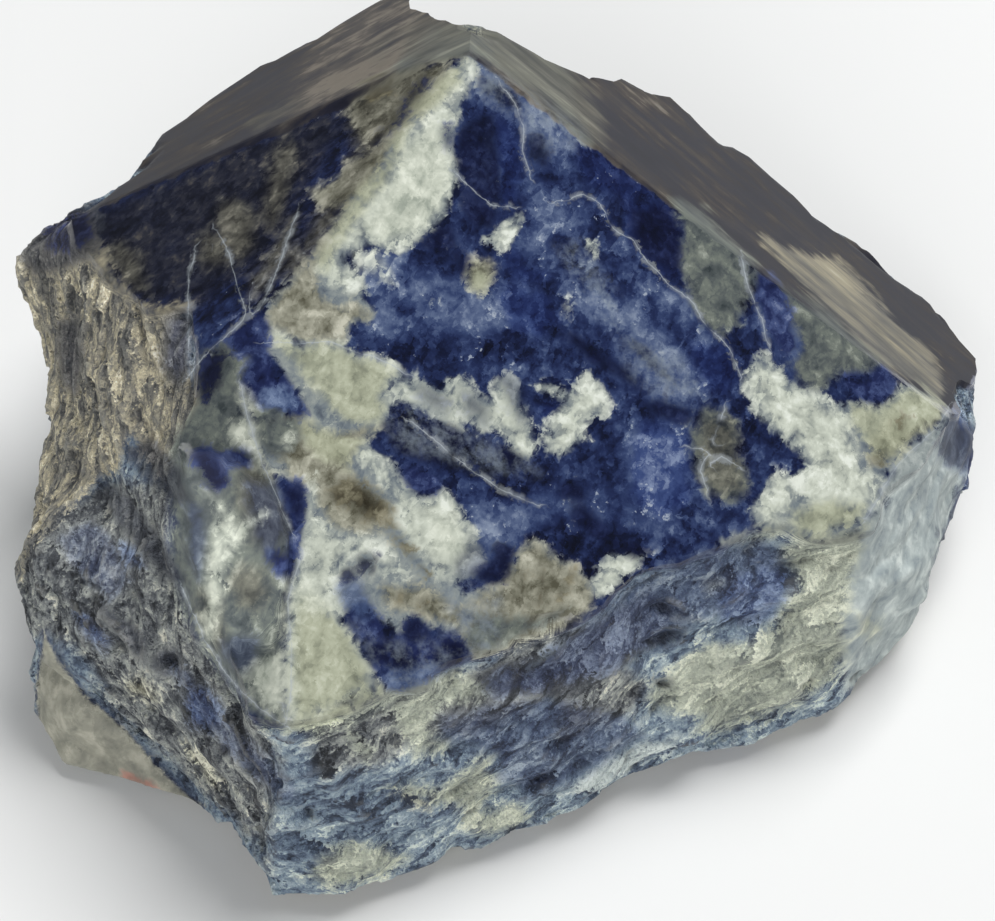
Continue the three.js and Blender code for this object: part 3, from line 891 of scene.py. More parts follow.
ROYAL = {
    "navy at the right": [
        (626, 200), (658, 200), (680, 215), (684, 250), (678, 280), (652, 266), (630, 240),
    ],
    "right of the peak": [
        (574, 142), (600, 152), (625, 166), (650, 184), (652, 197), (620, 198), (596, 188), (578, 166),
    ],
    "flake": [
        (504, 256), (512, 249), (524, 262), (540, 270), (549, 281), (530, 284), (514, 277), (505, 268),
    ],
    "between the whites": [(538, 402), (550, 400), (556, 410), (546, 420), (540, 414)],
    "low right": [(640, 420), (690, 430), (690, 500), (660, 520), (630, 500), (630, 450)],
    "right edge": [(690, 345), (725, 345), (738, 372), (730, 394), (706, 392), (694, 370)],
    "triangle": [(246, 372), (260, 358), (268, 370), (256, 384)],
    "pocket side": [
        (496, 118), (512, 130), (520, 146), (522, 172), (518, 196), (508, 205), (501, 200), (498, 160),
    ],
    "low patch": [(390, 650), (420, 650), (436, 662), (420, 676), (396, 668)],
    "upper": [(500, 290), (540, 290), (560, 320), (540, 340), (510, 330)],
}
WEB = {
    "apex": [
        (462, 72), (490, 66), (530, 92), (584, 134), (580, 150), (546, 146), (516, 116), (486, 100),
        (470, 96),
    ],
    "low patch": [(354, 622), (380, 644), (420, 640), (458, 650), (446, 668), (404, 690), (372, 662)],
    "diagonal": [(556, 246), (578, 240), (612, 288), (636, 330), (628, 346), (600, 318), (570, 280)],
    "mottle": [
        (622, 346), (646, 340), (672, 352), (700, 376), (706, 394), (680, 402), (650, 392), (630, 374),
    ],
    "veined patch": [
        (384, 412), (420, 402), (470, 432), (520, 458), (540, 474), (500, 474), (440, 458), (398, 448),
    ],
    "low crystal": [(446, 588), (470, 580), (500, 590), (500, 650), (466, 660), (444, 640)],
}
VEIL = {
    "cap": [(400, 60), (420, 20), (470, 10), (530, 30), (560, 70), (520, 76), (470, 44), (430, 54)],
    "low left": [(420, 536), (470, 560), (500, 556), (520, 540), (540, 510), (520, 500), (490, 510)],
    "back left": [
        (280, 118), (300, 74), (340, 20), (372, -10), (424, -10), (424, 44), (380, 84), (320, 112),
    ],
    "mottles": [(626, 352), (648, 346), (676, 340), (698, 372), (704, 392), (690, 404), (650, 400)],
    "mid right": [(622, 424), (686, 428), (688, 498), (624, 494)],
    "below the spots": [
        (410, 276), (440, 272), (470, 290), (500, 296), (506, 320), (480, 334), (440, 332), (416, 320),
        (400, 300),
    ],
    "peak": [
        (466, 66), (500, 64), (540, 96), (574, 128), (584, 148), (556, 158), (530, 176), (524, 140),
        (504, 112), (470, 108),
    ],
    "middle": [
        (524, 160), (548, 190), (590, 210), (570, 230), (540, 240), (520, 232), (530, 210), (522, 190),
    ],
    "net": [
        (520, 490), (560, 496), (600, 490), (640, 500), (680, 510), (676, 532), (620, 520), (560, 520),
        (520, 530), (500, 516),
    ],
    "below the crack": [(560, 280), (600, 290), (640, 300), (664, 340), (640, 350), (610, 330), (580, 316)],
    "by the crack": [
        (646, 280), (672, 290), (692, 300), (700, 320), (720, 340), (700, 342), (676, 320), (656, 300),
    ],
    "under the diagonal band": [(460, 500), (480, 500), (500, 530), (490, 560), (478, 540), (466, 520)],
    "left of the peak": [(374, 250), (410, 250), (404, 270), (384, 290), (372, 300), (362, 280)],
    "islands": [(384, 300), (400, 320), (396, 346), (376, 346), (364, 326)],
    "low patch": [(384, 664), (430, 656), (438, 668), (404, 684)],
    "top middle": [(500, 238), (540, 240), (560, 262), (540, 268), (516, 254)],
    "above the wavy band": [
        (420, 372), (440, 368), (470, 372), (500, 372), (520, 368), (500, 360), (440, 360),
    ],
    "left flat": [(186, 320), (200, 328), (196, 360), (176, 380), (168, 350)],
    "right flat": [(756, 300), (790, 310), (830, 370), (790, 380), (770, 350)],
}
# Grey bands on the back flats: partly smoky stone, partly a painted reflection of the pale floor that these
# flats mirror.
SMOKE_AND_SHEEN = {
    "peak": [
        (384, 84), (404, 79), (434, 64), (468, 55), (520, 96), (600, 150), (650, 110), (600, 40), (470, 0),
        (420, -20), (390, 0),
    ],
    "back left flat": [(66, 222), (202, 166), (398, 86), (432, 54), (400, -30), (250, -30), (60, 160)],
    "right flat": [
        (464, 48), (514, 91), (561, 125), (595, 149), (636, 180), (686, 218), (736, 256), (796, 301),
        (856, 346), (926, 396), (950, 410), (1000, 340), (700, 40), (560, 40),
    ],
}
CREAM = {
    "middle": [
        (300, 416), (322, 428), (346, 436), (366, 440), (352, 456), (350, 470), (326, 462), (306, 446),
        (296, 432),
    ],
    "band edge": [
        (404, 104), (392, 128), (388, 150), (376, 166), (360, 186), (344, 206), (330, 230), (316, 258),
        (324, 274), (338, 250), (352, 228), (368, 206), (386, 186), (398, 166), (406, 146), (412, 122),
    ],
    "crystal": [(468, 270), (480, 264), (490, 272), (488, 284), (480, 293), (470, 286)],
    "corner": [
        (294, 590), (312, 594), (334, 616), (350, 634), (366, 664), (372, 690), (345, 700), (300, 720),
        (288, 700), (288, 640),
    ],
    "beside the field": [
        (272, 336), (300, 345), (332, 345), (352, 352), (380, 362), (396, 374), (380, 396), (388, 410),
        (378, 424), (350, 424), (330, 412), (318, 392), (300, 372), (284, 352),
    ],
    "right": [
        (846, 400), (880, 408), (896, 396), (912, 384), (930, 392), (946, 404), (940, 418), (910, 440),
        (890, 464), (872, 456), (856, 430),
    ],
    "right, low": [(790, 510), (830, 500), (868, 504), (860, 524), (820, 534), (796, 536)],
    "peak": [(404, 104), (430, 86), (452, 70), (462, 62), (460, 80), (440, 100), (414, 122)],
    "front rim": [
        (284, 722), (318, 716), (362, 691), (380, 686), (374, 699), (330, 723), (306, 733), (286, 731),
    ],
}
DRAB = {
    "lip": [
        (0, 560), (60, 500), (100, 480), (160, 476), (184, 500), (190, 560), (210, 620), (240, 680),
        (270, 720), (280, 790), (270, 880), (240, 820), (200, 800), (120, 720), (50, 640), (0, 640),
    ],
    "front, top": [
        (300, 724), (380, 700), (480, 660), (560, 630), (640, 600), (660, 640), (600, 690), (500, 720),
        (400, 760), (320, 780),
    ],
    "front, middle": [(540, 680), (620, 660), (660, 680), (640, 720), (560, 740)],
}
INK = {
    "wavy band, left": [(410, 384), (436, 391), (454, 402), (446, 413), (424, 402)],
    "wavy band, middle": [(458, 388), (476, 398), (492, 410), (484, 424), (466, 410)],
    "white edge": [(450, 560), (470, 540), (486, 548), (480, 572), (462, 582)],
    "wavy band, right": [(500, 376), (520, 384), (532, 410), (520, 424), (508, 400)],
    "left flat, low": [(222, 642), (240, 634), (256, 640), (260, 656), (250, 674), (234, 670), (224, 656)],
    "left flat, outer": [(186, 500), (204, 510), (204, 540), (200, 580), (190, 560)],
    "left flat, middle": [(246, 480), (280, 490), (288, 530), (270, 560), (250, 530)],
    "left wall": [(166, 320), (192, 308), (193, 362), (178, 388), (164, 366)],
    "front, broad": [
        (440, 716), (470, 712), (520, 700), (560, 700), (620, 716), (640, 736), (600, 764), (560, 786),
        (530, 796), (500, 776), (496, 756), (462, 744), (440, 738),
    ],
    "front, top": [
        (478, 690), (500, 672), (540, 652), (600, 612), (640, 580), (690, 556), (760, 538), (782, 552),
        (788, 576), (776, 602), (748, 620), (712, 614), (660, 640), (600, 672), (540, 690), (500, 700),
    ],
    "lip a": [
        (170, 660), (190, 672), (230, 720), (280, 770), (300, 800), (280, 800), (230, 750), (190, 706),
    ],
    "lip b": [(60, 540), (90, 520), (110, 540), (130, 580), (110, 600), (76, 570)],
}
BROWN = {
    "patch": [(700, 418), (724, 414), (738, 424), (742, 470), (746, 492), (716, 496), (700, 476)],
    "cap": [
        (396, 30), (424, 16), (470, 22), (520, 36), (566, 64), (604, 112), (604, 146), (566, 118),
        (520, 84), (474, 44), (440, 56), (414, 70),
    ],
    "front flat, upper": [
        (240, 466), (262, 464), (286, 510), (290, 534), (270, 550), (250, 540), (236, 500),
    ],
    "front flat, middle": [(228, 580), (244, 566), (262, 572), (270, 594), (256, 612), (238, 606)],
    "front flat, low": [(196, 592), (212, 584), (222, 600), (226, 646), (214, 650), (200, 626)],
    "left flat, streak": [
        (262, 216), (266, 184), (276, 150), (290, 140), (298, 156), (290, 185), (280, 222), (270, 230),
    ],
    "left flat, smear": [
        (218, 204), (236, 198), (254, 214), (256, 246), (242, 262), (224, 250), (216, 226),
    ],
    "left flat, olive": [(198, 240), (210, 230), (226, 244), (228, 262), (212, 268), (200, 262)],
    "left flat, blade": [
        (250, 300), (252, 276), (272, 250), (288, 216), (298, 214), (298, 236), (284, 262), (266, 290),
    ],
    # Painted shade: the white band's darker copy on the left flat, beside the ridge.
    "below the ridge": [
        (344, 96), (380, 80), (420, 64), (440, 70), (424, 96), (404, 126), (384, 150), (356, 190),
        (336, 226), (316, 256), (288, 280), (280, 264), (300, 236), (324, 206), (340, 180), (356, 150),
        (348, 120),
    ],
    "back left, low": [(250, 124), (276, 108), (300, 98), (304, 104), (280, 118), (258, 132)],
    "back left, top": [(360, 52), (390, 30), (404, 36), (380, 58)],
    "left flat, edge": [(104, 246), (122, 240), (140, 256), (150, 300), (132, 292), (108, 262)],
}
BEIGE = {
    "foot": [
        (44, 632), (58, 660), (84, 694), (120, 724), (150, 758), (190, 796), (205, 806), (150, 800),
        (100, 780), (60, 774), (38, 724), (36, 690),
    ],
}
# Milky white mineral, and painted highlights.
MILK_AND_GLINTS = {
    "band, upper": [
        (410, 134), (430, 124), (446, 150), (450, 180), (444, 204), (430, 224), (404, 240), (378, 240),
        (364, 226), (378, 204), (392, 176), (400, 152),
    ],
    "front flat, foot": [(248, 672), (266, 654), (284, 650), (288, 722), (270, 712), (252, 692)],
    # Painted highlights: the star with its glow and rays, the glint on the quartz, and the bright lines
    # along the front left flat's ridge (ridge glow, ridge line, left edge).
    "star": [(216, 526), (226, 519), (233, 527), (234, 542), (226, 548), (217, 542)],
    "glint": [(286, 440), (292, 438), (296, 444), (291, 449), (285, 446)],
    "star, ray a": [(214, 545), (222, 550), (220, 600), (212, 640), (204, 640), (208, 590)],
    "star, ray b": [(222, 520), (212, 500), (206, 494), (214, 496), (230, 516)],
    "star, ray c": [(236, 530), (250, 520), (262, 514), (250, 528), (238, 540)],
    "left facet": [(230, 440), (234, 422), (254, 432), (246, 440)],
    "ridge glow": [
        (286, 585), (300, 575), (312, 586), (330, 612), (318, 612), (300, 606), (292, 640), (284, 640),
    ],
    "ridge line": [(286, 600), (294, 600), (297, 700), (289, 716)],
    "left edge": [(240, 392), (246, 392), (254, 432), (266, 468), (260, 468), (248, 434)],
    "upper patch": [(352, 250), (372, 254), (384, 262), (372, 270), (356, 264)],
    "band, lower": [(430, 512), (450, 520), (466, 548), (452, 564), (432, 548)],
}
RED = {
    "foot": [(122, 770), (138, 774), (152, 782), (158, 792), (140, 786), (126, 780)],
}
# Pale cracks, and painted highlights along lit edges: left ridge, front left edge, ridge and right rim.
CRACKS_AND_GLINTS = {
    "veined patch": [(412, 422), (444, 448), (474, 472), (502, 490), (536, 504)],
    "apex": [(500, 84), (516, 104), (524, 128), (522, 150), (530, 172)],
    "curved": [
        (556, 201), (572, 199), (584, 194), (598, 202), (608, 218), (616, 232), (634, 240), (642, 256),
        (656, 270), (668, 284), (692, 301), (702, 320), (720, 338), (732, 352), (740, 374),
    ],
    "across the pocket": [(455, 172), (466, 184), (480, 196), (492, 206), (512, 206)],
    "field edge": [(268, 343), (300, 343), (332, 342), (352, 350), (376, 358), (392, 366), (408, 375)],
    "left flat, outer": [(196, 250), (189, 275), (188, 300), (188, 330), (190, 362)],
    "left flat, middle": [(218, 232), (228, 252), (236, 280), (246, 312)],
    "left flat, inner": [(296, 215), (284, 250), (276, 272), (264, 302)],
    "left ridge": [(262, 308), (240, 322), (220, 342), (202, 358), (187, 378)],
    "right flat": [(742, 258), (746, 280), (754, 300), (762, 320), (767, 342)],
    "front left edge": [(241, 388), (246, 410), (252, 434), (264, 468), (278, 500), (291, 530)],
    "patch a": [(692, 447), (706, 450), (714, 462), (722, 456), (736, 465)],
    "patch b": [(712, 440), (718, 424), (724, 412)],
    "patch c": [(708, 452), (700, 470), (706, 488)],
    "chip edge": [(183, 590), (205, 640), (222, 668), (240, 690), (262, 710), (286, 726)],
    "ridge": [(300, 560), (288, 600), (292, 650), (290, 700), (286, 722)],
    "right rim": [(866, 518), (880, 496), (892, 472), (912, 450), (934, 430), (948, 410)],
}
SMOOTH = {
    "foot": BEIGE["foot"],
    "right wall": [
        (862, 520), (890, 470), (948, 408), (985, 440), (950, 560), (930, 640), (900, 670), (850, 700),
        (838, 640), (850, 580),
    ],
    "hollow of the front left flat": [
        (176, 440), (262, 440), (300, 580), (300, 730), (262, 722), (228, 684), (190, 630), (166, 540),
    ],
}
CALM = {
    "front wall": [
        (262, 790), (290, 736), (380, 706), (480, 672), (600, 620), (700, 574), (780, 548), (862, 540),
        (856, 640), (846, 704), (700, 744), (600, 776), (500, 830), (330, 894), (272, 890),
    ],
}
PITS = {
    "front a": [(648, 604), (664, 600), (682, 610), (666, 618), (650, 614)],
    "front b": [(640, 642), (664, 630), (684, 630), (676, 642), (652, 650)],
    "front c": [(654, 680), (670, 680), (672, 690), (658, 690)],
    "right": [(800, 684), (814, 678), (826, 684), (816, 694), (804, 694)],
    "right slit": [(848, 680), (860, 670), (872, 668), (866, 680), (852, 688)],
    "lip a": [(106, 640), (118, 636), (128, 646), (122, 656), (110, 652)],
    "lip b": [(158, 656), (170, 650), (182, 658), (176, 668), (162, 666)],
    "lip c": [(218, 744), (230, 742), (232, 752), (222, 756)],
    "lip d": [(240, 766), (252, 762), (258, 772), (248, 778)],
    "lip e": [(272, 780), (282, 778), (284, 788), (276, 790)],
    "lip f": [(304, 806), (314, 810), (314, 820), (306, 818)],
}
REACH = 2.5  # millimetres: how far from an outline its distance is still kept
KINDS = {
    # The outlines, the size in millimetres of a guessed patch, and how much of the hidden side has it.
    "veil": (VEIL, 12, 0),
    "web": (WEB, 12, 0),
    "royal": (ROYAL, 14, 0),
    "dusk": (DUSK, 12, 0),
    "deep": (DEEP, 7, 0),
    "smoke_and_sheen": (SMOKE_AND_SHEEN, 20, 0),
    "drab": (DRAB, 24, 0.4),
    "murk": (MURK, 12, 0.03),
    "pale": (PALE, 18, 0.12),
    "buff": (BUFF, 22, 0.24),
    "ash": (ASH, 18, 0.12),
    "tan": (TAN, 12, 0.08),
    "white": (WHITE, 15, 0),
    "sand": (SAND, 15, 0.18),
    "cream": (CREAM, 12, 0.06),
    "grey": (GREY, 16, 0.14),
    "blue": (BLUE, 10, 0),
    "dusty": (DUSTY, 10, 0.12),
    "dark_and_shade": (DARK_AND_SHADE, 9, 0.1),
    "ink": (INK, 10, 0.16),
    "brown": (BROWN, 14, 0.05),
    "beige": (BEIGE, 20, 0.03),
    "milk_and_glints": (MILK_AND_GLINTS, 9, 0.03),
    "rust": (RUST, 9, 0.02),
    "red": (RED, 9, 0),
}


# ---- The stone's material ----

FLAT_LIGHT = 1.1  # how much brighter than its own colour a polished flat shows in this studio
WALL_LIGHT = 0.49  # the same for the broken sides
SMOOTH_LIGHT = 0.69  # the same for the smooth parts of them


def screen(red, green, blue):
    """A screen colour as linear light, by the sRGB rule."""
    linear = [c / 3295 if c < 11 else ((c / 255 + 0.055) / 1.055) ** 2.4 for c in (red, green, blue)]
    return (*linear, 1.0)


class Nodes:
    """Short ways to add one material's nodes."""

    def __init__(self, tree):
        self.tree = tree

    def put(self, socket, value):
        """Links a socket to a node's output, or sets it to a plain value."""
        if isinstance(value, bpy.types.NodeSocket):
            self.tree.links.new(value, socket)
        else:
            socket.default_value = value

    def add(self, kind, inputs, **settings):
        """A new node's outputs, with its inputs by name or number."""
        node = self.tree.nodes.new("ShaderNode" + kind)
        for name, value in settings.items():
            setattr(node, name, value)
        for name, value in inputs.items():
            self.put(node.inputs[name], value)
        return node.outputs

    def attribute(self, name):
        return self.add("Attribute", {}, attribute_name=name)["Fac"]

    def math(self, operation, a, b=0.0):
        return self.add("Math", {0: a, 1: b}, operation=operation)[0]

    def times(self, a, b):
        return self.math("MULTIPLY", a, b)

    def sum(self, *terms):
        """The sum of (value, weight) pairs."""
        total = self.times(*terms[0])
        for value, weight in terms[1:]:
            total = self.math("ADD", total, self.times(value, weight))
        return total

    def spread(self, level):
        """A level of 0 to 1, which is mostly near its middle, spread to about -1 to 1."""
        return self.times(self.math("SUBTRACT", level, 0.5), 4.0)

    def noise(self, place, scale, detail, roughness=0.6, distortion=0.0):
        """Noise spread to about -1 to 1."""
        shape = {"Scale": scale, "Detail": detail, "Roughness": roughness, "Distortion": distortion}
        return self.spread(self.add("TexNoise", {"Vector": place, **shape})[0])

    def net(self, place, scale):
        """Distance to the borders of random cells."""
        inputs = {"Vector": place, "Scale": scale}
        return self.add("TexVoronoi", inputs, feature="DISTANCE_TO_EDGE")["Distance"]

    def cells(self, place, scale):
        """A random level, about -1 to 1, for each of many small crystals."""
        return self.spread(self.add("TexVoronoi", {"Vector": place, "Scale": scale})["Color"])

    def scaled(self, vector, factor):
        return self.add("VectorMath", {0: vector, "Scale": factor}, operation="SCALE")["Vector"]

    def moved(self, vector, offset):
        return self.add("VectorMath", {0: vector, 1: offset}, operation="ADD")["Vector"]

    def rise(self, value, low, high):
        """0 at low and 1 at high, smooth between them."""
        inputs = {"Value": value, "From Min": low, "From Max": high}
        return self.add("MapRange", inputs, interpolation_type="SMOOTHSTEP")["Result"]

    def mix(self, factor, a, b):
        """Colour a at 0 and b at 1."""
        return self.add("Mix", {0: factor, 6: a, 7: b}, data_type="RGBA")[2]

    def ramp(self, value, stops):
        """Screen colours along a value from -1 to 1."""
        node = self.tree.nodes.new("ShaderNodeValToRGB")
        self.put(node.inputs[0], self.math("ADD", self.times(value, 0.5), 0.5))
        elements = node.color_ramp.elements
        while len(elements) < len(stops):
            elements.new(0.5)
        for element, (at, colour) in zip(elements, sorted(stops.items())):
            element.position = (at + 1) / 2
            element.color = screen(*colour)
        return node.outputs[0]

    def patch(self, kind, jitter, amount, low, high):
        """1 inside the outlines of one kind, with an uneven edge."""
        return self.rise(self.sum((self.attribute(kind), 1.0), (jitter, amount)), low, high)

    def stretched(self, place, along, across):
        """A place drawn out along the bedding."""
        bedding = Vector(BEDDING)
        through = self.add("VectorMath", {0: place, 1: bedding}, operation="DOT_PRODUCT")["Value"]
        layered = self.scaled(bedding, self.times(through, 1 / across - 1 / along))
        return self.moved(self.scaled(place, 1 / along), layered)


# Each mineral, from the lowest layer up: its kind, how uneven its edge is, the depth inside its outline at
# which it starts and is full, how much it covers, and its screen colours from its darkest to its lightest.
# Some kinds also carry painted shade, painted highlights and a painted reflection of the floor.
MINERALS = [
    ("murk", 1.3, -1.8, 1.8, 0.85, {
        -0.6: (11, 12, 24), -0.1: (27, 29, 42), 0.3: (48, 48, 54), 0.8: (100, 94, 82),
    }),
    ("pale", 0.9, -0.5, 0.6, 1.0, {
        -0.8: (78, 86, 98), -0.3: (116, 125, 130), 0.2: (148, 154, 150), 0.7: (186, 190, 180),
    }),
    ("buff", 1.0, -0.6, 0.8, 1.0, {
        -0.9: (50, 51, 52), -0.3: (98, 97, 92), 0.1: (132, 127, 112), 0.5: (166, 158, 134),
        0.9: (202, 196, 176),
    }),
    ("ash", 0.9, -0.7, 0.9, 1.0, {-0.8: (104, 113, 118), 0.0: (142, 150, 149), 0.8: (184, 190, 186)}),
    ("tan", 1.0, -0.7, 0.9, 1.0, {
        -0.6: (82, 80, 66), -0.2: (123, 122, 107), 0.2: (158, 157, 141), 0.6: (195, 193, 176),
    }),
    ("white", 1.5, -0.4, 2.0, 1.0, {
        -0.8: (136, 143, 138), -0.3: (173, 178, 166), 0.15: (199, 204, 190), 0.6: (226, 230, 219),
    }),
    ("sand", 1.1, -0.9, 1.3, 1.0, {
        -0.9: (92, 97, 92), -0.3: (128, 132, 121), 0.2: (149, 153, 139), 0.8: (186, 188, 171),
    }),
    ("cream", 0.9, -0.8, 1.0, 0.85, {
        -0.8: (124, 127, 107), -0.2: (156, 159, 135), 0.3: (178, 181, 156), 0.8: (204, 207, 187),
    }),
    ("grey", 1.0, -0.9, 0.9, 1.0, {
        -0.8: (50, 57, 60), -0.2: (84, 90, 90), 0.3: (112, 118, 110), 0.8: (160, 165, 154),
    }),
    ("brown", 0.9, -1.2, 1.5, 0.7, {
        -0.7: (43, 42, 39), -0.2: (79, 77, 68), 0.25: (109, 107, 95), 0.8: (154, 151, 137),
    }),
    ("blue", 1.1, -0.6, 0.6, 1.0, {
        -0.8: (12, 16, 44), -0.1: (31, 40, 80), 0.4: (66, 79, 120), 0.9: (140, 150, 176),
    }),
    ("dusty", 1.0, -0.9, 0.9, 0.8, {-0.8: (34, 43, 74), 0.0: (70, 87, 123), 0.8: (132, 149, 178)}),
    # dark stone, and painted shade in the pits and under overhangs
    ("dark_and_shade", 1.0, -0.5, 0.7, 0.8, {-0.8: (26, 28, 34), 0.0: (44, 47, 56), 0.8: (78, 82, 92)}),
    ("ink", 1.0, -0.9, 0.9, 0.68, {-0.8: (20, 25, 44), 0.0: (49, 59, 86), 0.8: (106, 118, 140)}),
    ("deep", 1.0, -0.7, 0.6, 0.9, {-0.8: (4, 6, 20), 0.0: (12, 17, 46), 0.8: (34, 44, 84)}),
    ("beige", 0.4, -0.3, 0.3, 1.0, {-0.8: (98, 98, 90), 0.0: (130, 129, 117), 0.8: (166, 163, 149)}),
    # milky mineral, and painted highlights
    ("milk_and_glints", 0.9, -1.2, 1.2, 0.7, {-0.6: (164, 171, 156), 0.6: (228, 231, 215)}),
    ("rust", 1.4, -0.5, 1.1, 0.9, {
        -0.4: (36, 31, 20), 0.0: (67, 61, 45), 0.3: (102, 97, 77), 0.8: (147, 141, 118),
    }),
    ("red", 0.8, -0.5, 0.8, 0.6, {-0.5: (116, 52, 44), 0.5: (160, 84, 72)}),
]


def polished_colour(nodes, zone, middle, grain, crystals, streak, haze, smoke_and_sheen):
    """Deep blue with milky flecks; on the back flats it is grey and banded, partly smoky stone and partly a
    painted reflection of the floor.
    """
    veil = nodes.rise(nodes.attribute("veil"), -1.6, 1.6)
    royal = nodes.patch("royal", middle, 0.8, -1.0, 1.0)
    dusk = nodes.patch("dusk", middle, 0.9, -1.2, 1.0)
    mottle = nodes.sum((middle, 0.36), (streak, 0.38), (grain, 0.16), (crystals, 0.34))
    calm = nodes.sum((veil, -0.35), (1.0, 1.0))
    value = nodes.sum((zone, 0.2), (nodes.times(mottle, calm), 1.0), (veil, 0.56), (dusk, -0.4))
    blue = nodes.ramp(value, {
        -0.95: (7, 10, 26), -0.5: (15, 22, 50), -0.1: (30, 41, 78), 0.25: (50, 64, 102),
        0.6: (84, 98, 130), 0.98: (134, 146, 168),
    })
    vivid = nodes.ramp(value, {
        -0.8: (9, 14, 46), 0.0: (27, 39, 84), 0.6: (52, 69, 118), 1.0: (124, 138, 170),
    })
    colour = nodes.mix(nodes.times(royal, 0.85), blue, vivid)
    speck = nodes.rise(nodes.sum((grain, 0.6), (crystals, 0.5), (veil, 0.25)), 0.9, 1.05)
    colour = nodes.mix(nodes.times(speck, 0.7), colour, screen(170, 178, 190))
    drift = nodes.rise(nodes.sum((nodes.attribute("veil"), 1.0), (zone, 1.1), (middle, 0.6)), -2.4, 2.4)
    # the grey of the back flats: partly smoky stone, partly a painted reflection of the floor
    hazy = nodes.ramp(nodes.sum((haze, 0.65), (zone, 0.4), (middle, 0.25), (drift, 0.8)), {
        -0.8: (5, 7, 26), -0.2: (18, 18, 36), 0.15: (42, 38, 42), 0.6: (74, 67, 61),
        0.95: (122, 114, 102),
    })
    return nodes.mix(smoke_and_sheen, colour, hazy)


def broken_colour(nodes, torn, zone, middle):
    """The same stone where it broke: splintery, dusty and greyer."""
    value = nodes.sum((torn, 0.95), (middle, 0.35))
    slate = nodes.ramp(value, {
        -0.9: (32, 38, 50), -0.4: (68, 80, 97), 0.0: (102, 116, 128), 0.4: (131, 143, 150),
        0.85: (180, 188, 182),
    })
    drab = nodes.ramp(value, {
        -0.9: (26, 28, 31), -0.4: (64, 67, 71), 0.0: (103, 106, 106), 0.4: (136, 139, 134),
        0.85: (186, 184, 170),
    })
    drabness = nodes.sum((zone, 0.6), (middle, 0.4), (nodes.attribute("drab"), 0.5))
    return nodes.mix(nodes.rise(drabness, -0.5, 0.9), slate, drab)


GLOSS_FLOOR = 0.1  # the roughness of the best polish, and what breaks, raggedness and the grey back flats add to it
BROKEN_GLOSS, RAGGED_GLOSS, SMOKE_AND_SHEEN_GLOSS = 0.5, 0.1, 0.45
SPECULAR = 0.36
BUMP_HEIGHT = 0.00025  # metres
SCRATCH = screen(128, 138, 148)
# the pale colour of the cracks and of the painted ridge highlights
CRACK_AND_GLINT = screen(178, 185, 190)
# painted shade: the colour that darkens the crevices of the broken sides
CREVICE_SHADE = screen(28, 30, 36)
# painted highlight: the colour that lightens the jutting edges of the broken sides
EDGE_HIGHLIGHT = screen(150, 150, 143)
SCRATCH_COVER, FEATHER_COVER, LINE_COVER, CREVICE_SHADE_COVER, EDGE_HIGHLIGHT_COVER = 0.6, 0.4, 0.75, 0.56, 0.2


def scratched(nodes, colour, rough, streak, grain):
    """Adds the fine pale scratches of the veined patches."""
    fine = nodes.rise(nodes.sum((streak, 1.0), (grain, 0.45)), -0.6, 1.1)
    web = nodes.times(nodes.rise(nodes.attribute("web"), -1.2, 1.2), nodes.math("SUBTRACT", 1.0, rough))
    return nodes.mix(nodes.times(nodes.times(web, fine), SCRATCH_COVER), colour, SCRATCH)


def cracked_and_glinting(nodes, colour, middle, grain, crystals):
    """Adds the pale cracks, and the painted highlights along the lit ridges and the right rim, each a thin
    line with feathered sides.
    """
    off = nodes.math("ABSOLUTE", nodes.sum((nodes.attribute("crack_and_glint"), 1.0), (middle, 0.16), (grain, 0.06)))
    feather = nodes.rise(nodes.sum((off, 1.0), (crystals, 0.3), (grain, 0.15)), 0.45, -0.1)
    line = nodes.rise(nodes.sum((off, 1.0), (crystals, 0.03)), 0.13, 0.0)
    line = nodes.math("MAXIMUM", nodes.times(line, LINE_COVER), nodes.times(feather, FEATHER_COVER))
    line = nodes.times(line, nodes.attribute("crack_and_glint_near"))
    line = nodes.times(line, nodes.rise(middle, -1.2, 0.3))
    return nodes.mix(line, colour, CRACK_AND_GLINT)


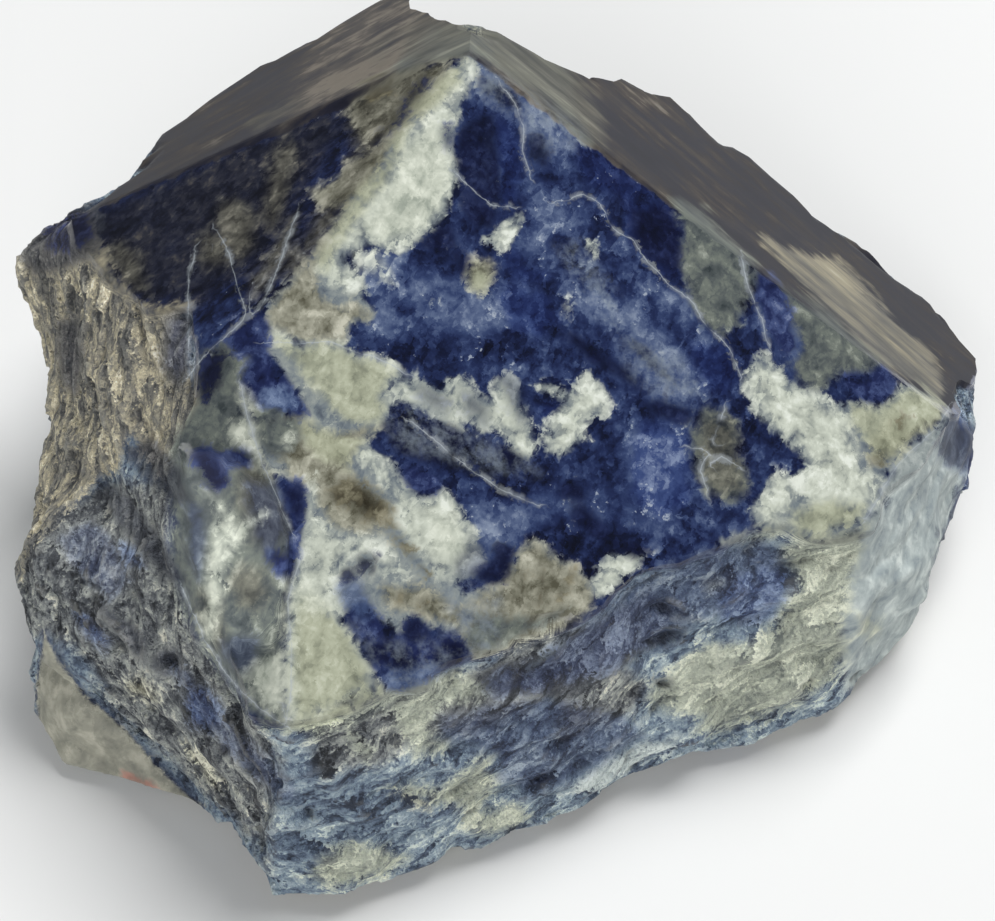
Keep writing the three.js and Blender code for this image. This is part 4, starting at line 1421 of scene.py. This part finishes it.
def stone_material():
    """The stone's one material, which reads the values at its points."""
    made = bpy.data.materials.new("sodalite")
    made.use_nodes = True
    nodes = Nodes(made.node_tree)
    bsdf = made.node_tree.nodes["Principled BSDF"]
    place = nodes.scaled(nodes.add("TexCoord", {})["Object"], 1 / MM)

    broken = nodes.rise(nodes.attribute("broken"), 0.1, 0.7)
    zone = nodes.noise(place, 0.11, 2, 0.5, 0.5)
    middle = nodes.noise(place, 0.42, 2.5, 0.58, 0.5)
    grain = nodes.noise(place, 1.9, 3, 0.65)
    layers = nodes.stretched(place, 2.4, 0.8)
    streak = nodes.noise(layers, 0.95, 4, 0.6, 0.1)
    spot = nodes.moved(nodes.mix(broken, place, layers), nodes.times(grain, 0.35))
    crystals = nodes.sum((nodes.cells(spot, 1.5), 0.45), (nodes.cells(spot, 0.55), 0.55))
    gaps = nodes.rise(nodes.net(spot, 0.9), 0.12, 0.0)
    haze = nodes.noise(nodes.stretched(place, 6, 1.2), 0.5, 4, 0.6)
    # where the back flats carry grey bands and the painted floor reflection
    smoke_and_sheen = nodes.patch("smoke_and_sheen", middle, 0.3, -0.2, 0.2)
    crumbly = nodes.sum((middle, 0.72), (grain, 0.1), (crystals, 0.4))
    drifting = nodes.sum((haze, 0.7), (zone, 0.9), (middle, 0.4))
    ragged = nodes.mix(smoke_and_sheen, crumbly, drifting)
    soft = nodes.sum((middle, 0.62), (streak, 0.18), (grain, 0.05), (crystals, 0.22), (gaps, -0.1))
    torn = nodes.sum((streak, 0.42), (grain, 0.45), (crystals, 0.55), (gaps, -0.3))
    rough = nodes.times(broken, nodes.rise(nodes.attribute("smooth"), 1.0, -0.8))
    edge = nodes.mix(rough, ragged, torn)
    shade = nodes.mix(rough, nodes.mix(smoke_and_sheen, soft, nodes.times(haze, 0.7)), torn)

    polished = polished_colour(nodes, zone, middle, grain, crystals, streak, haze, smoke_and_sheen)
    colour = nodes.mix(rough, polished, broken_colour(nodes, torn, zone, middle))
    for kind, uneven, start, full, cover, colours in MINERALS:
        inside = nodes.times(nodes.patch(kind, edge, uneven, start, full), cover)
        colour = nodes.mix(inside, colour, nodes.ramp(shade, colours))
    colour = scratched(nodes, colour, rough, streak, grain)
    colour = cracked_and_glinting(nodes, colour, middle, grain, crystals)
    hollow = nodes.attribute("hollow")
    # Painted shade darkens the crevices of the broken sides.
    colour = nodes.mix(nodes.times(nodes.rise(hollow, 0.1, 0.9), CREVICE_SHADE_COVER), colour, CREVICE_SHADE)
    # A painted highlight lightens the jutting edges of the broken sides.
    colour = nodes.mix(nodes.times(nodes.rise(hollow, -0.2, -0.9), EDGE_HIGHLIGHT_COVER), colour, EDGE_HIGHLIGHT)
    light = nodes.sum(
        (1.0, 1 / FLAT_LIGHT),
        (broken, 1 / SMOOTH_LIGHT - 1 / FLAT_LIGHT),
        (rough, 1 / WALL_LIGHT - 1 / SMOOTH_LIGHT),
    )
    nodes.put(bsdf.inputs["Base Color"], nodes.scaled(colour, light))
    bsdf.inputs["Specular IOR Level"].default_value = SPECULAR

    uneven_polish = nodes.rise(ragged, -0.4, 1.0)
    gloss = nodes.sum((broken, BROKEN_GLOSS), (uneven_polish, RAGGED_GLOSS), (smoke_and_sheen, SMOKE_AND_SHEEN_GLOSS))
    nodes.put(bsdf.inputs["Roughness"], nodes.math("ADD", gloss, GLOSS_FLOOR))
    bump = nodes.add("Bump", {"Distance": BUMP_HEIGHT, "Height": nodes.times(grain, rough)})
    nodes.put(bsdf.inputs["Normal"], bump["Normal"])
    return made


points, triangles, broken, hollow = stone_surface()
stone = mesh_object("sodalite_stone", points, triangles, markings(points, triangles, broken, hollow))
stone.data.materials.append(stone_material())
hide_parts("sodalite")
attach(stone, "root")


# ---- Floor, light and camera ----

FLOOR_SIZE, FLOOR_COLOUR, FLOOR_ROUGHNESS = 6, (0.8, 0.8, 0.79), 0.9
SKY_COLOUR, SKY_STRENGTH = (0.88, 0.94, 1.0), 0.18
LIGHTS = {
    # The place, the size and the power. Both stand clear of what the polished flats mirror to the camera.
    "overhead": ((0.42, 0.42, 1.2), 0.75, 16.5),
    "front": ((-0.25, -1.2, 0.8), 0.8, 10),
}


def plane(name, size, colour):
    """A level square on the ground."""
    bpy.ops.mesh.primitive_plane_add(size=size)
    made = bpy.context.object
    made.name = name
    finish = bpy.data.materials.new(name)
    finish.use_nodes = True
    bsdf = finish.node_tree.nodes["Principled BSDF"]
    bsdf.inputs["Base Color"].default_value = (*colour, 1)
    bsdf.inputs["Roughness"].default_value = FLOOR_ROUGHNESS
    made.data.materials.append(finish)
    return made


def area_light(name, place, size, power):
    """A soft square light that points at the stone."""
    data = bpy.data.lights.new(name, "AREA")
    data.size = size
    data.energy = power
    lamp = bpy.data.objects.new(name, data)
    bpy.context.scene.collection.objects.link(lamp)
    lamp.location = place
    lamp.rotation_euler = (Vector(TARGET * MM) - Vector(place)).to_track_quat("-Z", "Y").to_euler()


def studio():
    """A pale floor, two soft lights, a faint sky and the photograph's camera."""
    floor = plane("floor", FLOOR_SIZE, FLOOR_COLOUR)
    for name, (place, size, power) in LIGHTS.items():
        area_light(name, place, size, power)
    world = bpy.data.worlds.new("soft")
    bpy.context.scene.world = world
    world.use_nodes = True
    sky = world.node_tree.nodes["Background"]
    sky.inputs["Color"].default_value = (*SKY_COLOUR, 1)
    sky.inputs["Strength"].default_value = SKY_STRENGTH
    camera = bpy.data.objects.new("camera", bpy.data.cameras.new("camera"))
    bpy.context.scene.collection.objects.link(camera)
    camera.data.lens = LENS
    camera.data.sensor_width = SENSOR
    camera.location = Vector(EYE * MM)
    camera.rotation_euler = Vector(-BACK).to_track_quat("-Z", "Y").to_euler()
    bpy.context.scene.camera = camera
    bpy.context.scene.view_settings.view_transform = "Standard"


studio()
